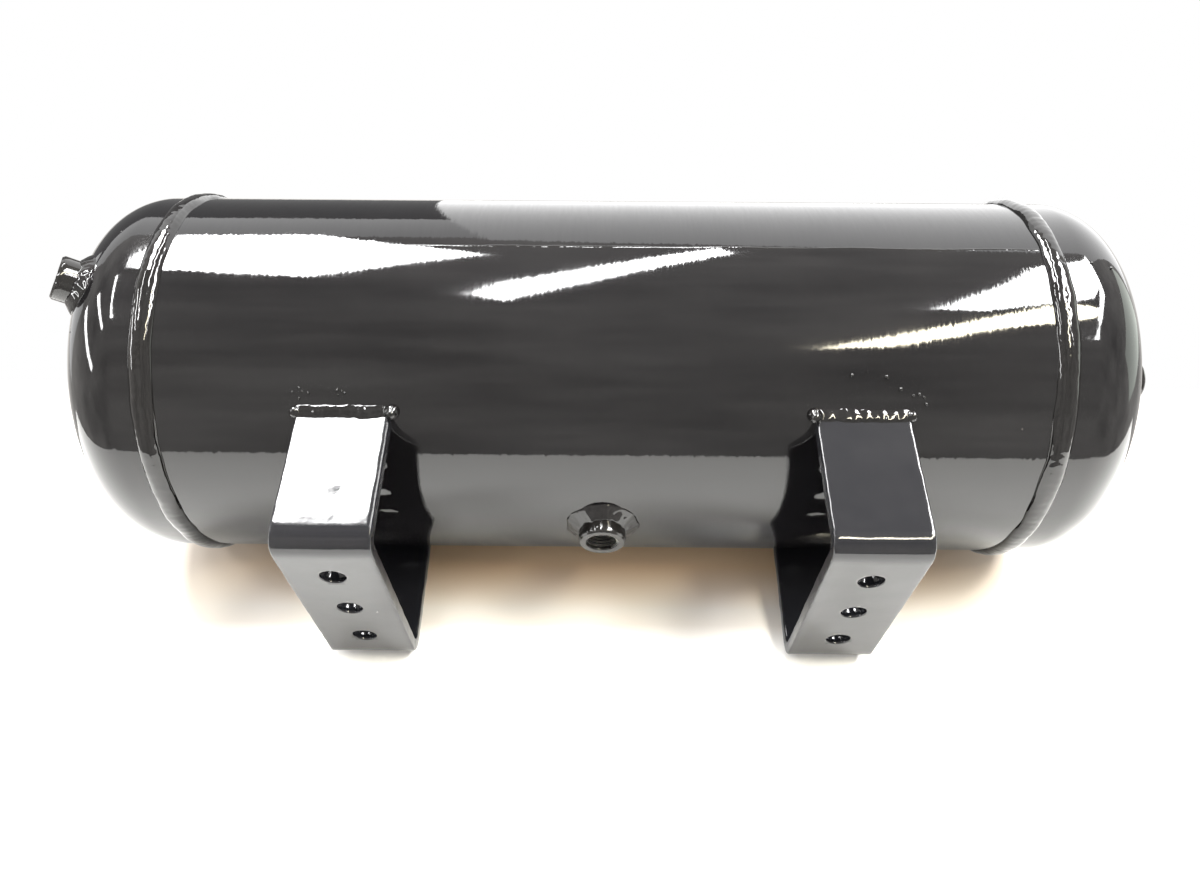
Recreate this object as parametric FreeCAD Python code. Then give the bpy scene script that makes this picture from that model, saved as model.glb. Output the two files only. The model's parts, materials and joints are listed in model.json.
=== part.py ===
import FreeCAD, Part
import math
import os

# Air receiver tank: a small horizontal pressure vessel. A rolled shell and two dished heads
# are joined by girth welds, three threaded bungs are welded through the wall, and the tank
# stands on two feet, each a flat bar bent to a U and welded to the shell by its two legs.
#
# Frame: millimetres, +Z up. X runs along the tank, the legs at -Y are the front legs, and
# the origin is on the feet's undersides, at the centre of the six bolt holes. The vessel's
# axis is parallel to X at AXIS_HEIGHT.

# Vessel
TANK_OD = 152.4             # 6 in outside diameter of shell and heads
WALL = 2.5                  # plate of shell and heads
SHELL_LENGTH = 341.0        # between the centres of the two girth welds
HEAD_FLANGE = 11.5          # straight stretch of a head, girth weld centre to dish
CROWN_R = 137.0             # outside radius of a dish's crown
KNUCKLE_R = 26.4            # outside radius of the knuckle, crown to flange
SKIRT_LENGTH = 12.0         # joggled skirt inside the shell, from the girth weld centre
SKIRT_CLEARANCE = 0.15      # radial gap between skirt and shell

# Welds of the vessel
ROOT_GAP = 3.0              # girth weld root, shell end to head shoulder
GIRTH_CAP_WIDTH = 10.5
GIRTH_CAP_HEIGHT = 2.0
SEAM_CLOCK = 87.5           # degrees from the top, turning to the front
SEAM_GAP = 2.0              # slot between the rolled edges
SEAM_CAP_WIDTH = 4.5
SEAM_CAP_HEIGHT = 0.4

# Feet
AXIS_HEIGHT = 113.0         # vessel axis above the feet's undersides
FOOT_SPACING = 192.0        # between the two feet's centre planes
FOOT_WIDTH = 101.0          # over the outer faces of a foot's two legs
BAR_WIDTH = 35.0
BAR_THICKNESS = 5.0
BEND_INSIDE_R = 3.5
HOLE_DIAMETER = 9.5
HOLE_PITCH = 27.0
HOLES_PER_FOOT = 3

# Leg welds
LEG_WELD_SIZE = 4.8         # fillet's length up the shell and down the leg
LEG_WELD_CROWN = 0.8        # how far the fillet bulges past its flat face
LEG_WELD_OVERRUN = 2.5      # past each side of the bar
LEG_WELD_RETURN_R = 2.7     # short returns round the leg's two sides

# Ports, each 1/4 in taper thread, drawn as a plain bore at the tapped hole's size
PORT_BORE_R = 5.7
PORT_MOUTH_R = 6.4
BUNG_CHAMFER = 0.8
BUNG_INSIDE = 3.0           # how far a bung stands into the tank, past the wall
BUNG_CLEARANCE = 0.15       # radial gap between a bung and the hole in the wall

DRAIN_BUNG_OD = 19.0
DRAIN_BUNG_STAND = 8.0      # past the outside of the wall, on the bung's axis
DRAIN_WELD_LEG = 5.0
LEFT_BUNG_OD = 17.5
LEFT_BUNG_STAND = 8.0
LEFT_PORT_CLOCK = 97.0      # degrees from the top, turning to the front
LEFT_PORT_LEAN = 36.5       # degrees between the port's axis and the vessel's
RIGHT_BUNG_OD = 19.0
RIGHT_BUNG_STAND = 18.0
HEAD_WELD_LEG = 4.0

# Worked out from the driving sizes
RADIUS = TANK_OD / 2
BORE = RADIUS - WALL
SKIRT_R = BORE - SKIRT_CLEARANCE
GIRTH_X = SHELL_LENGTH / 2
SHELL_END_X = GIRTH_X - ROOT_GAP / 2
DISH_X = GIRTH_X + HEAD_FLANGE
KNUCKLE_RING_R = RADIUS - KNUCKLE_R
DISH_ANGLE = math.asin(KNUCKLE_RING_R / (CROWN_R - KNUCKLE_R))
CROWN_X = DISH_X - (CROWN_R - KNUCKLE_R) * math.cos(DISH_ANGLE)
POLE_X = CROWN_X + CROWN_R
LEG_OUT_Y = FOOT_WIDTH / 2
LEG_IN_Y = LEG_OUT_Y - BAR_THICKNESS
AXIS_POINT = FreeCAD.Vector(0, 0, AXIS_HEIGHT)
SEAM_LINE_TURN = 45.0       # degrees round the axis, for surfaces drawn by turning
X_DIR = FreeCAD.Vector(1, 0, 0)
DOWN = FreeCAD.Vector(0, 0, -1)


def vec(x, y, z):
    return FreeCAD.Vector(x, y, z)


def loop_of(points):
    """Straight edges from each point to the next, and back to the first."""
    return [Part.LineSegment(a, b).toShape() for a, b in zip(points, points[1:] + points[:1])]


def face_of(edges):
    return Part.Face(Part.Wire(edges))


def turned(edges):
    """A closed outline above the vessel's axis, turned round that axis.

    The surfaces' own seam lines are then turned away from the ports.
    """
    solid = face_of(edges).revolve(AXIS_POINT, X_DIR, 360)
    solid.rotate(AXIS_POINT, X_DIR, SEAM_LINE_TURN)
    return solid


def above_axis(x, radius):
    """A point of a turned outline: x along the tank, radius from the vessel's axis."""
    return vec(x, 0, AXIS_HEIGHT + radius)


def outside_drum(length):
    """The shell's outside as a solid cylinder, which other pieces are trimmed to."""
    start = AXIS_POINT - X_DIR * (length / 2)
    return Part.makeCylinder(RADIUS, length, start, X_DIR)


def clock_direction(degrees):
    """Unit direction from the vessel's axis, degrees from the top towards the front."""
    a = math.radians(degrees)
    return vec(0, -math.sin(a), math.cos(a))


def mirror_x(shape):
    return shape.mirror(vec(0, 0, 0), X_DIR)


# ---- vessel -------------------------------------------------------------------------------

def shell_ring():
    start = AXIS_POINT - X_DIR * SHELL_END_X
    outer = Part.makeCylinder(RADIUS, 2 * SHELL_END_X, start, X_DIR)
    return outer.cut(Part.makeCylinder(BORE, 2 * SHELL_END_X, start, X_DIR))


def seam_slot():
    """The slot between the rolled plate's two edges, as a bar through the wall."""
    depth = 4 * WALL
    bar = Part.makeBox(2 * SHELL_END_X, SEAM_GAP, depth, vec(-SHELL_END_X, -SEAM_GAP / 2, 0))
    bar.translate(vec(0, 0, RADIUS - depth / 2))
    bar.rotate(vec(0, 0, 0), X_DIR, SEAM_CLOCK)
    bar.translate(AXIS_POINT)
    return bar


def tank_shell():
    hole_r = DRAIN_BUNG_OD / 2 + BUNG_CLEARANCE
    drain_hole = Part.makeCylinder(hole_r, RADIUS, AXIS_POINT, DOWN)
    return shell_ring().cut(seam_slot()).cut(drain_hole)


def shell_seam_weld():
    """The slot filled through the wall, with a low cap between the girth welds' caps."""
    fill = shell_ring().common(seam_slot())
    half, crown = SEAM_CAP_WIDTH / 2, RADIUS + SEAM_CAP_HEIGHT
    edge_r = math.sqrt(RADIUS ** 2 - half ** 2)
    length = 2 * GIRTH_X - GIRTH_CAP_WIDTH
    x = -length / 2
    left, top, right = vec(x, -half, edge_r), vec(x, 0, crown), vec(x, half, edge_r)
    cap_edges = [
        Part.Arc(left, top, right).toShape(),
        Part.LineSegment(right, vec(x, half, edge_r - WALL / 2)).toShape(),
        Part.LineSegment(vec(x, half, edge_r - WALL / 2), vec(x, -half, edge_r - WALL / 2)).toShape(),
        Part.LineSegment(vec(x, -half, edge_r - WALL / 2), left).toShape(),
    ]
    cap = face_of(cap_edges).extrude(X_DIR * length)
    cap.rotate(vec(0, 0, 0), X_DIR, SEAM_CLOCK)
    cap.translate(AXIS_POINT)
    return fill.fuse(cap.cut(outside_drum(SHELL_LENGTH))).removeSplitter()


def dish_point(angle, inset=0.0):
    """A point of the dish, in the XZ plane, where its normal leans angle from the axis.

    inset is how far the surface lies inside the dish's outside.
    """
    x_run, r_run = math.cos(angle), math.sin(angle)
    if angle < DISH_ANGLE:
        return above_axis(CROWN_X + (CROWN_R - inset) * x_run, (CROWN_R - inset) * r_run)
    reach = KNUCKLE_R - inset
    return above_axis(DISH_X + reach * x_run, KNUCKLE_RING_R + reach * r_run)


def dish_edges(inset):
    """The dish's knuckle and crown as two tangent arcs, from the flange to the pole."""
    rim, knuckle_mid, join, crown_mid, pole = [
        dish_point(angle, inset)
        for angle in (math.pi / 2, (math.pi / 2 + DISH_ANGLE) / 2, DISH_ANGLE, DISH_ANGLE / 2, 0)]
    return [Part.Arc(rim, knuckle_mid, join).toShape(), Part.Arc(join, crown_mid, pole).toShape()]


def right_head_blank():
    """Head with a joggled skirt that slides inside the shell, before its port is cut."""
    shoulder_x = GIRTH_X + ROOT_GAP / 2
    joggle = WALL + SKIRT_CLEARANCE
    outside = [
        above_axis(GIRTH_X - SKIRT_LENGTH, SKIRT_R - WALL),
        above_axis(GIRTH_X - SKIRT_LENGTH, SKIRT_R),
        above_axis(shoulder_x, SKIRT_R),
        above_axis(shoulder_x, RADIUS),
        above_axis(DISH_X, RADIUS),
    ]
    inside = [
        above_axis(DISH_X, BORE),
        above_axis(shoulder_x + joggle, BORE),
        above_axis(shoulder_x, SKIRT_R - WALL),
        outside[0],
    ]
    edges = [Part.LineSegment(a, b).toShape() for a, b in zip(outside, outside[1:])]
    edges += dish_edges(0) + dish_edges(WALL)
    edges.append(Part.LineSegment(dish_point(0), dish_point(0, WALL)).toShape())
    edges += [Part.LineSegment(a, b).toShape() for a, b in zip(inside, inside[1:])]
    return turned(Part.__sortEdges__(edges))


def right_head_outside():
    """The right head's outside as a filled solid, which its port's weld is trimmed to."""
    centre, rim = above_axis(GIRTH_X, 0), above_axis(GIRTH_X, RADIUS)
    edges = [
        Part.LineSegment(centre, rim).toShape(),
        Part.LineSegment(rim, above_axis(DISH_X, RADIUS)).toShape(),
        Part.LineSegment(dish_point(0), centre).toShape(),
    ]
    return turned(Part.__sortEdges__(edges + dish_edges(0)))


def right_girth_weld():
    """Root between shell end and head shoulder, down to the skirt, under a rounded cap."""
    half_root, half_cap = ROOT_GAP / 2, GIRTH_CAP_WIDTH / 2
    cap = Part.Arc(above_axis(GIRTH_X - half_cap, RADIUS),
                   above_axis(GIRTH_X, RADIUS + GIRTH_CAP_HEIGHT),
                   above_axis(GIRTH_X + half_cap, RADIUS))
    under = [
        above_axis(GIRTH_X + half_cap, RADIUS),
        above_axis(GIRTH_X + half_root, RADIUS),
        above_axis(GIRTH_X + half_root, SKIRT_R),
        above_axis(GIRTH_X - half_root, SKIRT_R),
        above_axis(GIRTH_X - half_root, RADIUS),
        above_axis(GIRTH_X - half_cap, RADIUS),
    ]
    edges = [cap.toShape()] + [Part.LineSegment(a, b).toShape() for a, b in zip(under, under[1:])]
    return turned(edges)


# ---- ports --------------------------------------------------------------------------------

def drain_port():
    """Where the drain bung's axis leaves the shell, and its outward direction."""
    return AXIS_POINT + DOWN * RADIUS, DOWN


def left_port():
    """A point of the left dish and the dish's outward normal there."""
    lean = math.radians(LEFT_PORT_LEAN)
    radial = clock_direction(LEFT_PORT_CLOCK)
    on_dish = dish_point(lean) - AXIS_POINT
    point = AXIS_POINT - X_DIR * on_dish.x + radial * on_dish.z
    return point, radial * math.sin(lean) - X_DIR * math.cos(lean)


def right_port():
    return dish_point(0), X_DIR


def wall_hole(port, bung_od):
    point, out = port
    reach = RADIUS / 2
    return Part.makeCylinder(bung_od / 2 + BUNG_CLEARANCE, reach, point - out * (reach / 2), out)


def bung(port, od, stand):
    """Threaded boss through the wall, with a chamfered rim and a countersunk mouth."""
    point, out = port
    start = point - out * (WALL + BUNG_INSIDE)
    length = WALL + BUNG_INSIDE + stand
    body = Part.makeCylinder(od / 2, length - BUNG_CHAMFER, start, out)
    rim_base = start + out * (length - BUNG_CHAMFER)
    rim = Part.makeCone(od / 2, od / 2 - BUNG_CHAMFER, BUNG_CHAMFER, rim_base, out)
    bore = Part.makeCylinder(PORT_BORE_R, length, start, out)
    sink = PORT_MOUTH_R - PORT_BORE_R
    mouth = Part.makeCone(PORT_BORE_R, PORT_MOUTH_R, sink, start + out * (length - sink), out)
    return body.fuse(rim).cut(bore).cut(mouth).removeSplitter()


def bung_weld(port, od, leg, wall_outside):
    """Cone-shaped fillet from the bung's barrel to the wall, trimmed to both."""
    point, out = port
    sink = 2 * leg
    cone = Part.makeCone(od / 2 + leg + sink, od / 2, sink + leg, point - out * sink, out)
    barrel = Part.makeCylinder(od / 2, 2 * (sink + leg), point - out * (sink + leg), out)
    return cone.cut(wall_outside).cut(barrel)


# ---- feet ---------------------------------------------------------------------------------

def bar_profile(x):
    """A foot's U seen along the tank: two legs, two bends and the base."""
    top = AXIS_HEIGHT - BAR_THICKNESS
    out_r, in_r = BEND_INSIDE_R + BAR_THICKNESS, BEND_INSIDE_R
    turn = 1 - math.sqrt(0.5)
    edges = []

    def side(y_leg, z_base, radius, sign):
        """One leg face, its bend and the start of the base, from the top down."""
        y = sign * y_leg
        bend_top = vec(x, y, z_base + radius)
        bend_mid = vec(x, y - sign * radius * turn, z_base + radius * turn)
        bend_end = vec(x, y - sign * radius, z_base)
        edges.append(Part.LineSegment(vec(x, y, top), bend_top).toShape())
        edges.append(Part.Arc(bend_top, bend_mid, bend_end).toShape())
        return bend_end

    for y_leg, z_base, radius in ((LEG_OUT_Y, 0, out_r), (LEG_IN_Y, BAR_THICKNESS, in_r)):
        ends = [side(y_leg, z_base, radius, sign) for sign in (-1, 1)]
        edges.append(Part.LineSegment(*ends).toShape())
    for sign in (-1, 1):
        leg_top = [vec(x, sign * y, top) for y in (LEG_OUT_Y, LEG_IN_Y)]
        edges.append(Part.LineSegment(*leg_top).toShape())
    return Part.__sortEdges__(edges)


def hole_offsets():
    first = -HOLE_PITCH * (HOLES_PER_FOOT - 1) / 2
    return [first + HOLE_PITCH * i for i in range(HOLES_PER_FOOT)]


def right_bracket():
    """Flat bar bent to a U, its leg ends cut to sit on the shell, drilled for bolts."""
    centre_x = FOOT_SPACING / 2
    foot = face_of(bar_profile(centre_x - BAR_WIDTH / 2)).extrude(X_DIR * BAR_WIDTH)
    foot = foot.cut(outside_drum(SHELL_LENGTH))
    for y in hole_offsets():
        start = vec(centre_x, y, -BAR_THICKNESS)
        foot = foot.cut(Part.makeCylinder(HOLE_DIAMETER / 2, 3 * BAR_THICKNESS, start, DOWN * -1))
    return foot


def right_leg_weld(bracket, sign):
    """Fillet where one leg meets the shell, with short returns round the leg's sides.

    sign is -1 for the front leg and 1 for the back leg.
    """
    centre_x = FOOT_SPACING / 2
    drop = math.sqrt(RADIUS ** 2 - LEG_OUT_Y ** 2)
    corner = vec(0, sign * LEG_OUT_Y, AXIS_HEIGHT - drop)
    outward = (corner - AXIS_POINT) * (1 / RADIUS)
    up_shell = vec(0, -outward.z * sign, outward.y * sign)
    toe_shell = corner + up_shell * LEG_WELD_SIZE
    toe_leg = corner + DOWN * LEG_WELD_SIZE
    swell = (toe_shell + toe_leg) * 0.5 - corner
    crown = corner + swell + swell.normalize() * LEG_WELD_CROWN
    root = corner - outward * BAR_THICKNESS / 2
    root_shell = toe_shell - outward * BAR_THICKNESS / 2
    root_leg = toe_leg - vec(0, sign * BAR_THICKNESS / 2, 0)
    half = BAR_WIDTH / 2 + LEG_WELD_OVERRUN
    outline = [toe_shell, crown, toe_leg, root_leg, root, root_shell]
    bead = face_of(loop_of(outline)).extrude(X_DIR * (2 * half))
    bead.translate(X_DIR * (centre_x - half))
    for side in (-1, 1):
        start = corner + X_DIR * (centre_x + side * BAR_WIDTH / 2)
        back = up_shell * -BAR_THICKNESS
        bead = bead.fuse(Part.makeCylinder(LEG_WELD_RETURN_R, back.Length, start, back))
    return bead.cut(outside_drum(SHELL_LENGTH)).cut(bracket)


# ---- assembly -----------------------------------------------------------------------------

def build():
    """Every piece of the tank, by node name."""
    parts = {"tank_shell": tank_shell(), "shell_seam_weld": shell_seam_weld()}

    blank, outside, girth = right_head_blank(), right_head_outside(), right_girth_weld()
    parts["left_head"] = mirror_x(blank).cut(wall_hole(left_port(), LEFT_BUNG_OD))
    parts["right_head"] = blank.cut(wall_hole(right_port(), RIGHT_BUNG_OD))
    parts["left_girth_weld"] = mirror_x(girth)
    parts["right_girth_weld"] = girth

    drum = outside_drum(SHELL_LENGTH)
    ports = (
        ("drain", drain_port(), DRAIN_BUNG_OD, DRAIN_BUNG_STAND, DRAIN_WELD_LEG, drum),
        ("left_port", left_port(), LEFT_BUNG_OD, LEFT_BUNG_STAND, HEAD_WELD_LEG, mirror_x(outside)),
        ("right_port", right_port(), RIGHT_BUNG_OD, RIGHT_BUNG_STAND, HEAD_WELD_LEG, outside),
    )
    for name, port, od, stand, leg, wall_outside in ports:
        parts[name + "_bung"] = bung(port, od, stand)
        parts[name + "_weld"] = bung_weld(port, od, leg, wall_outside)

    bracket = right_bracket()
    parts["right_bracket"] = bracket
    parts["left_bracket"] = mirror_x(bracket)
    for place, sign in (("front", -1), ("back", 1)):
        weld = right_leg_weld(bracket, sign)
        parts["right_" + place + "_leg_weld"] = weld
        parts["left_" + place + "_leg_weld"] = mirror_x(weld)
    return parts


def main():
    os.makedirs("parts", exist_ok=True)
    for node, shape in build().items():
        shape.exportStep("parts/" + node + ".step")
        print(node, "solids", len(shape.Solids), "valid", shape.isValid(),
              "volume_cm3", round(shape.Volume / 1000, 2))


main()
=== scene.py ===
import json
import logging
import math
from dataclasses import dataclass, field
from enum import Enum
from typing import Any, Callable, ClassVar, Iterable, Sequence

import bmesh
import bpy
import numpy as np
from mathutils import Matrix, Vector, noise


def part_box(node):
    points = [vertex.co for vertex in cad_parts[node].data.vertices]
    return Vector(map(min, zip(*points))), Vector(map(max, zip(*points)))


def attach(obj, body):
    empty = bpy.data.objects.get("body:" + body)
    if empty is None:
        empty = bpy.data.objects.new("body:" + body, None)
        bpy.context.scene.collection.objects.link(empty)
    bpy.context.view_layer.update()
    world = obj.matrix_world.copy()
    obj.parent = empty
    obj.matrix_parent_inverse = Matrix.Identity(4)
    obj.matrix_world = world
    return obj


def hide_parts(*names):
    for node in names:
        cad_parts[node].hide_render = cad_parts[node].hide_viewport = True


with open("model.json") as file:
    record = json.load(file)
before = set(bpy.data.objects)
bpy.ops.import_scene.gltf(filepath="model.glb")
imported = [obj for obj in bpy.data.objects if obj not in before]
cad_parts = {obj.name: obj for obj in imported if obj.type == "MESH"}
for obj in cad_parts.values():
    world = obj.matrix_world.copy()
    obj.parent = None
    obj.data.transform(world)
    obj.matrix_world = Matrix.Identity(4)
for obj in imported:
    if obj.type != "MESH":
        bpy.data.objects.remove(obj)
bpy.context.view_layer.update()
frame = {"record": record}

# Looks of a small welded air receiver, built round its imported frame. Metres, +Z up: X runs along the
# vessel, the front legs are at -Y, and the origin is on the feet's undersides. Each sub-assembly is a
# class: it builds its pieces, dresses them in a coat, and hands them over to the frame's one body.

LOG = logging.getLogger("receiver")
BODY = "root"
MM = 0.001
JOIN = MM / 200                     # points closer than this are one point
PLATE_CREASE = 40.0                 # degrees: edges that turn more than this stay hard
BEAD_CREASE = 60.0
MELTED_CREASE = 80.0

Colour = tuple[float, float, float]
Triple = tuple[float, float, float]
Flat = tuple[float, float]
Hole = tuple[Vector, Vector, float]     # a place on the skin, its way out, and a radius
Socket = bpy.types.NodeSocket
Mesh = bpy.types.Mesh
Piece = bpy.types.Object


class Side(Enum):
    """An end of the vessel, with its sign along X."""

    LEFT = -1
    RIGHT = 1

    @property
    def word(self) -> str:
        """The side's word in node names."""
        return self.name.lower()


class Leg(Enum):
    """A leg of a foot, with its sign along Y."""

    FRONT = -1
    BACK = 1

    @property
    def word(self) -> str:
        """The leg's word in node names."""
        return self.name.lower()


class Port(Enum):
    """A threaded port, by the name that its mount has."""

    DRAIN = "drain_port"
    LEFT = "left_port"
    RIGHT = "right_port"


class Slot(Enum):
    """The record's paint slots."""

    TANK = "tank_paint"
    WELD = "weld_paint"
    BRACKET = "bracket_paint"
    PORT = "port_paint"


# ---- node trees ---------------------------------------------------------------------------

class Nodes:
    """Adds and wires nodes in one tree."""

    def __init__(self, tree: bpy.types.NodeTree) -> None:
        """Starts from an empty tree."""
        self.tree = tree
        tree.nodes.clear()

    def feed(self, socket: Socket, value: Any) -> None:
        """Links value to the socket if it is a socket, or else sets it.

        Args:
            socket: an input socket.
            value: a socket or a plain value.
        """
        if isinstance(value, Socket):
            self.tree.links.new(value, socket)
        else:
            socket.default_value = value

    def add(self, kind: str, values: dict | None = None, **settings: Any) -> bpy.types.Node:
        """Adds a node.

        Args:
            kind: the node's type.
            values: input socket, by name or number, to a value or a socket.
            settings: the node's own properties.

        Returns:
            The node.
        """
        node = self.tree.nodes.new(kind)
        for key, value in settings.items():
            setattr(node, key, value)
        for key, value in (values or {}).items():
            self.feed(node.inputs[key], value)
        return node

    def math(self, operation: str, *values: Any) -> Socket:
        """The result of one Math node."""
        return self.add("ShaderNodeMath", dict(enumerate(values)), operation=operation).outputs[0]

    def vector(self, operation: str, *values: Any) -> Socket:
        """The vector result of one Vector Math node.

        Args:
            operation: what the node does.
            values: its inputs, in order.

        Returns:
            The result.
        """
        node = self.add("ShaderNodeVectorMath", dict(enumerate(values)), operation=operation)
        return node.outputs[0]

    def scaled(self, vector: Any, factor: Any) -> Socket:
        """A vector times a number."""
        return self.add("ShaderNodeVectorMath", {"Vector": vector, "Scale": factor},
                        operation="SCALE").outputs[0]

    def noise(self, vector: Any, scale: Any, detail: float = 2.0, seed: Any = 0.0,
              rough: float = 0.5) -> Socket:
        """The factor of a seeded noise texture, about 0 to 1.

        Args:
            vector: where it is read.
            scale: cells on a metre.
            detail: octaves.
            seed: picks the pattern.
            rough: how strong the fine octaves are.

        Returns:
            The factor.
        """
        return self.add("ShaderNodeTexNoise", {"Vector": vector, "W": seed, "Scale": scale,
                                               "Detail": detail, "Roughness": rough},
                        noise_dimensions="4D").outputs[0]

    def ramp(self, value: Any, low: float, high: float, start: float = 0.0,
             end: float = 1.0) -> Socket:
        """A number that goes from start, where value is low, to end, where it is high.

        Args:
            value: what it follows.
            low, high: the values that it starts and ends at.
            start, end: its own first and last number.

        Returns:
            The number, held at both ends.
        """
        return self.add("ShaderNodeMapRange", {"Value": value, "From Min": low, "From Max": high,
                                               "To Min": start, "To Max": end}).outputs[0]

    def blend(self, share: Any, first: Any, second: Any) -> Socket:
        """Two colours mixed by share. Each is a socket or plain red, green and blue.

        Args:
            share: how much of the second there is.
            first, second: the colours.

        Returns:
            The mixed colour.
        """
        mix = self.add("ShaderNodeMix", data_type="RGBA")
        self.feed(mix.inputs[0], share)
        for number, colour in ((6, first), (7, second)):
            self.feed(mix.inputs[number], (*colour, 1.0) if isinstance(colour, tuple) else colour)
        return mix.outputs[2]


class Recipe:
    """A Geometry Nodes tree with named inputs, which is run on a mesh and leaves a plain one."""

    KINDS = {float: "NodeSocketFloat", int: "NodeSocketInt",
             bpy.types.Material: "NodeSocketMaterial"}

    def __init__(self, name: str, inputs: dict[str, type]) -> None:
        """Makes the tree's interface.

        Args:
            name: the tree's name.
            inputs: input names and their types, besides the mesh and the coat.
        """
        self.tree = bpy.data.node_groups.new(name, "GeometryNodeTree")
        self.nodes = Nodes(self.tree)
        self.sockets: dict[str, str] = {}
        face = self.tree.interface
        face.new_socket("Geometry", in_out="INPUT", socket_type="NodeSocketGeometry")
        for label, kind in {**inputs, "Coat": bpy.types.Material}.items():
            made = face.new_socket(label, in_out="INPUT", socket_type=self.KINDS[kind])
            self.sockets[label] = made.identifier
        face.new_socket("Geometry", in_out="OUTPUT", socket_type="NodeSocketGeometry")
        self.given = self.nodes.add("NodeGroupInput").outputs

    def close(self, geometry: Socket) -> None:
        """Ends the tree: smooth, realized and coated.

        Args:
            geometry: the shape to finish.
        """
        add = self.nodes.add
        smooth = add("GeometryNodeSetShadeSmooth", {0: geometry})
        real = add("GeometryNodeRealizeInstances", {0: smooth.outputs[0]})
        coated = add("GeometryNodeSetMaterial", {0: real.outputs[0], "Material": self.given["Coat"]})
        add("NodeGroupOutput", {0: coated.outputs[0]})

    def step(self, coat: bpy.types.Material, **values: float) -> Callable:
        """A modifier step that runs this tree.

        Args:
            coat: the material that the result gets.
            values: the inputs, with underscores for blanks.

        Returns:
            A function that adds the modifier to an object.
        """
        def add(carrier: Piece) -> None:
            """Adds the tree to the carrier with its inputs set.

            Args:
                carrier: the object that gets the modifier.
            """
            modifier = carrier.modifiers.new(self.tree.name, "NODES")
            modifier.node_group = self.tree
            modifier[self.sockets["Coat"]] = coat
            for label, value in values.items():
                modifier[self.sockets[label.replace("_", " ")]] = value
        return add


class Turning(Recipe):
    """Turns a flat outline round the local Z axis, and gives the skin a slow waviness."""

    def __init__(self) -> None:
        """Builds the tree. The outline's X is its distance from the core circle, its Y is -Z."""
        super().__init__("turned_outline", {"Core": float, "Facets": int, "Wave Length": float,
                                            "Wave Height": float, "Seed": float})
        turned = self.turn(self.given["Geometry"])
        self.close(self.waved(turned))

    def turn(self, outline: Socket) -> Socket:
        """The outline swept round the core circle, closed at its poles.

        Args:
            outline: the edges that the modifier was given.

        Returns:
            The turned skin.
        """
        add = self.nodes.add
        section = add("GeometryNodeMeshToCurve", {0: outline})
        core = add("GeometryNodeCurvePrimitiveCircle",
                   {"Resolution": self.given["Facets"], "Radius": self.given["Core"]})
        upright = add("GeometryNodeSetCurveNormal", {0: core.outputs[0]}, mode="Z_UP")
        swept = add("GeometryNodeCurveToMesh", {"Curve": upright.outputs[0],
                                                "Profile Curve": section.outputs[0]})
        joined = add("GeometryNodeMergeByDistance", {0: swept.outputs[0], "Distance": JOIN})
        return joined.outputs[0]

    def waved(self, skin: Socket) -> Socket:
        """The skin moved along its normals by a seeded noise.

        Args:
            skin: the turned skin.

        Returns:
            The waved skin.
        """
        nodes, given = self.nodes, self.given
        place = nodes.add("GeometryNodeInputPosition").outputs[0]
        normal = nodes.add("GeometryNodeInputNormal").outputs[0]
        rate = nodes.math("DIVIDE", 1.0, given["Wave Length"])
        wave = nodes.math("SUBTRACT", nodes.noise(place, rate, detail=1.0, seed=given["Seed"]), 0.5)
        lift = nodes.math("MULTIPLY", wave, given["Wave Height"])
        moved = nodes.add("GeometryNodeSetPosition", {0: skin, "Offset": nodes.scaled(normal, lift)})
        return moved.outputs[0]


class Winding(Recipe):
    """Winds a thread's ridge round the local Z axis, as a three-sided bar on a spiral."""

    def __init__(self) -> None:
        """Builds the tree. It needs no geometry to start from."""
        super().__init__("wound_thread", {"Root Radius": float, "Ridge": float, "Turns": float,
                                          "Length": float, "Start": float})
        given, add = self.given, self.nodes.add
        spiral = add("GeometryNodeCurveSpiral", {"Resolution": 48, "Rotations": given["Turns"],
                                                 "Start Radius": given["Root Radius"],
                                                 "End Radius": given["Root Radius"],
                                                 "Height": given["Length"]})
        lift = add("ShaderNodeCombineXYZ", {"Z": given["Start"]})
        placed_up = add("GeometryNodeTransform", {0: spiral.outputs[0], "Translation": lift.outputs[0]})
        upright = add("GeometryNodeSetCurveNormal", {0: placed_up.outputs[0]}, mode="Z_UP")
        bar = add("GeometryNodeCurvePrimitiveCircle", {"Resolution": 3, "Radius": given["Ridge"]})
        inward = add("GeometryNodeTransform", {0: bar.outputs[0], "Rotation": (0, 0, math.pi)})
        ridge = add("GeometryNodeCurveToMesh", {"Curve": upright.outputs[0], "Fill Caps": True,
                                                "Profile Curve": inward.outputs[0]})
        self.close(ridge.outputs[0])


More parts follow.
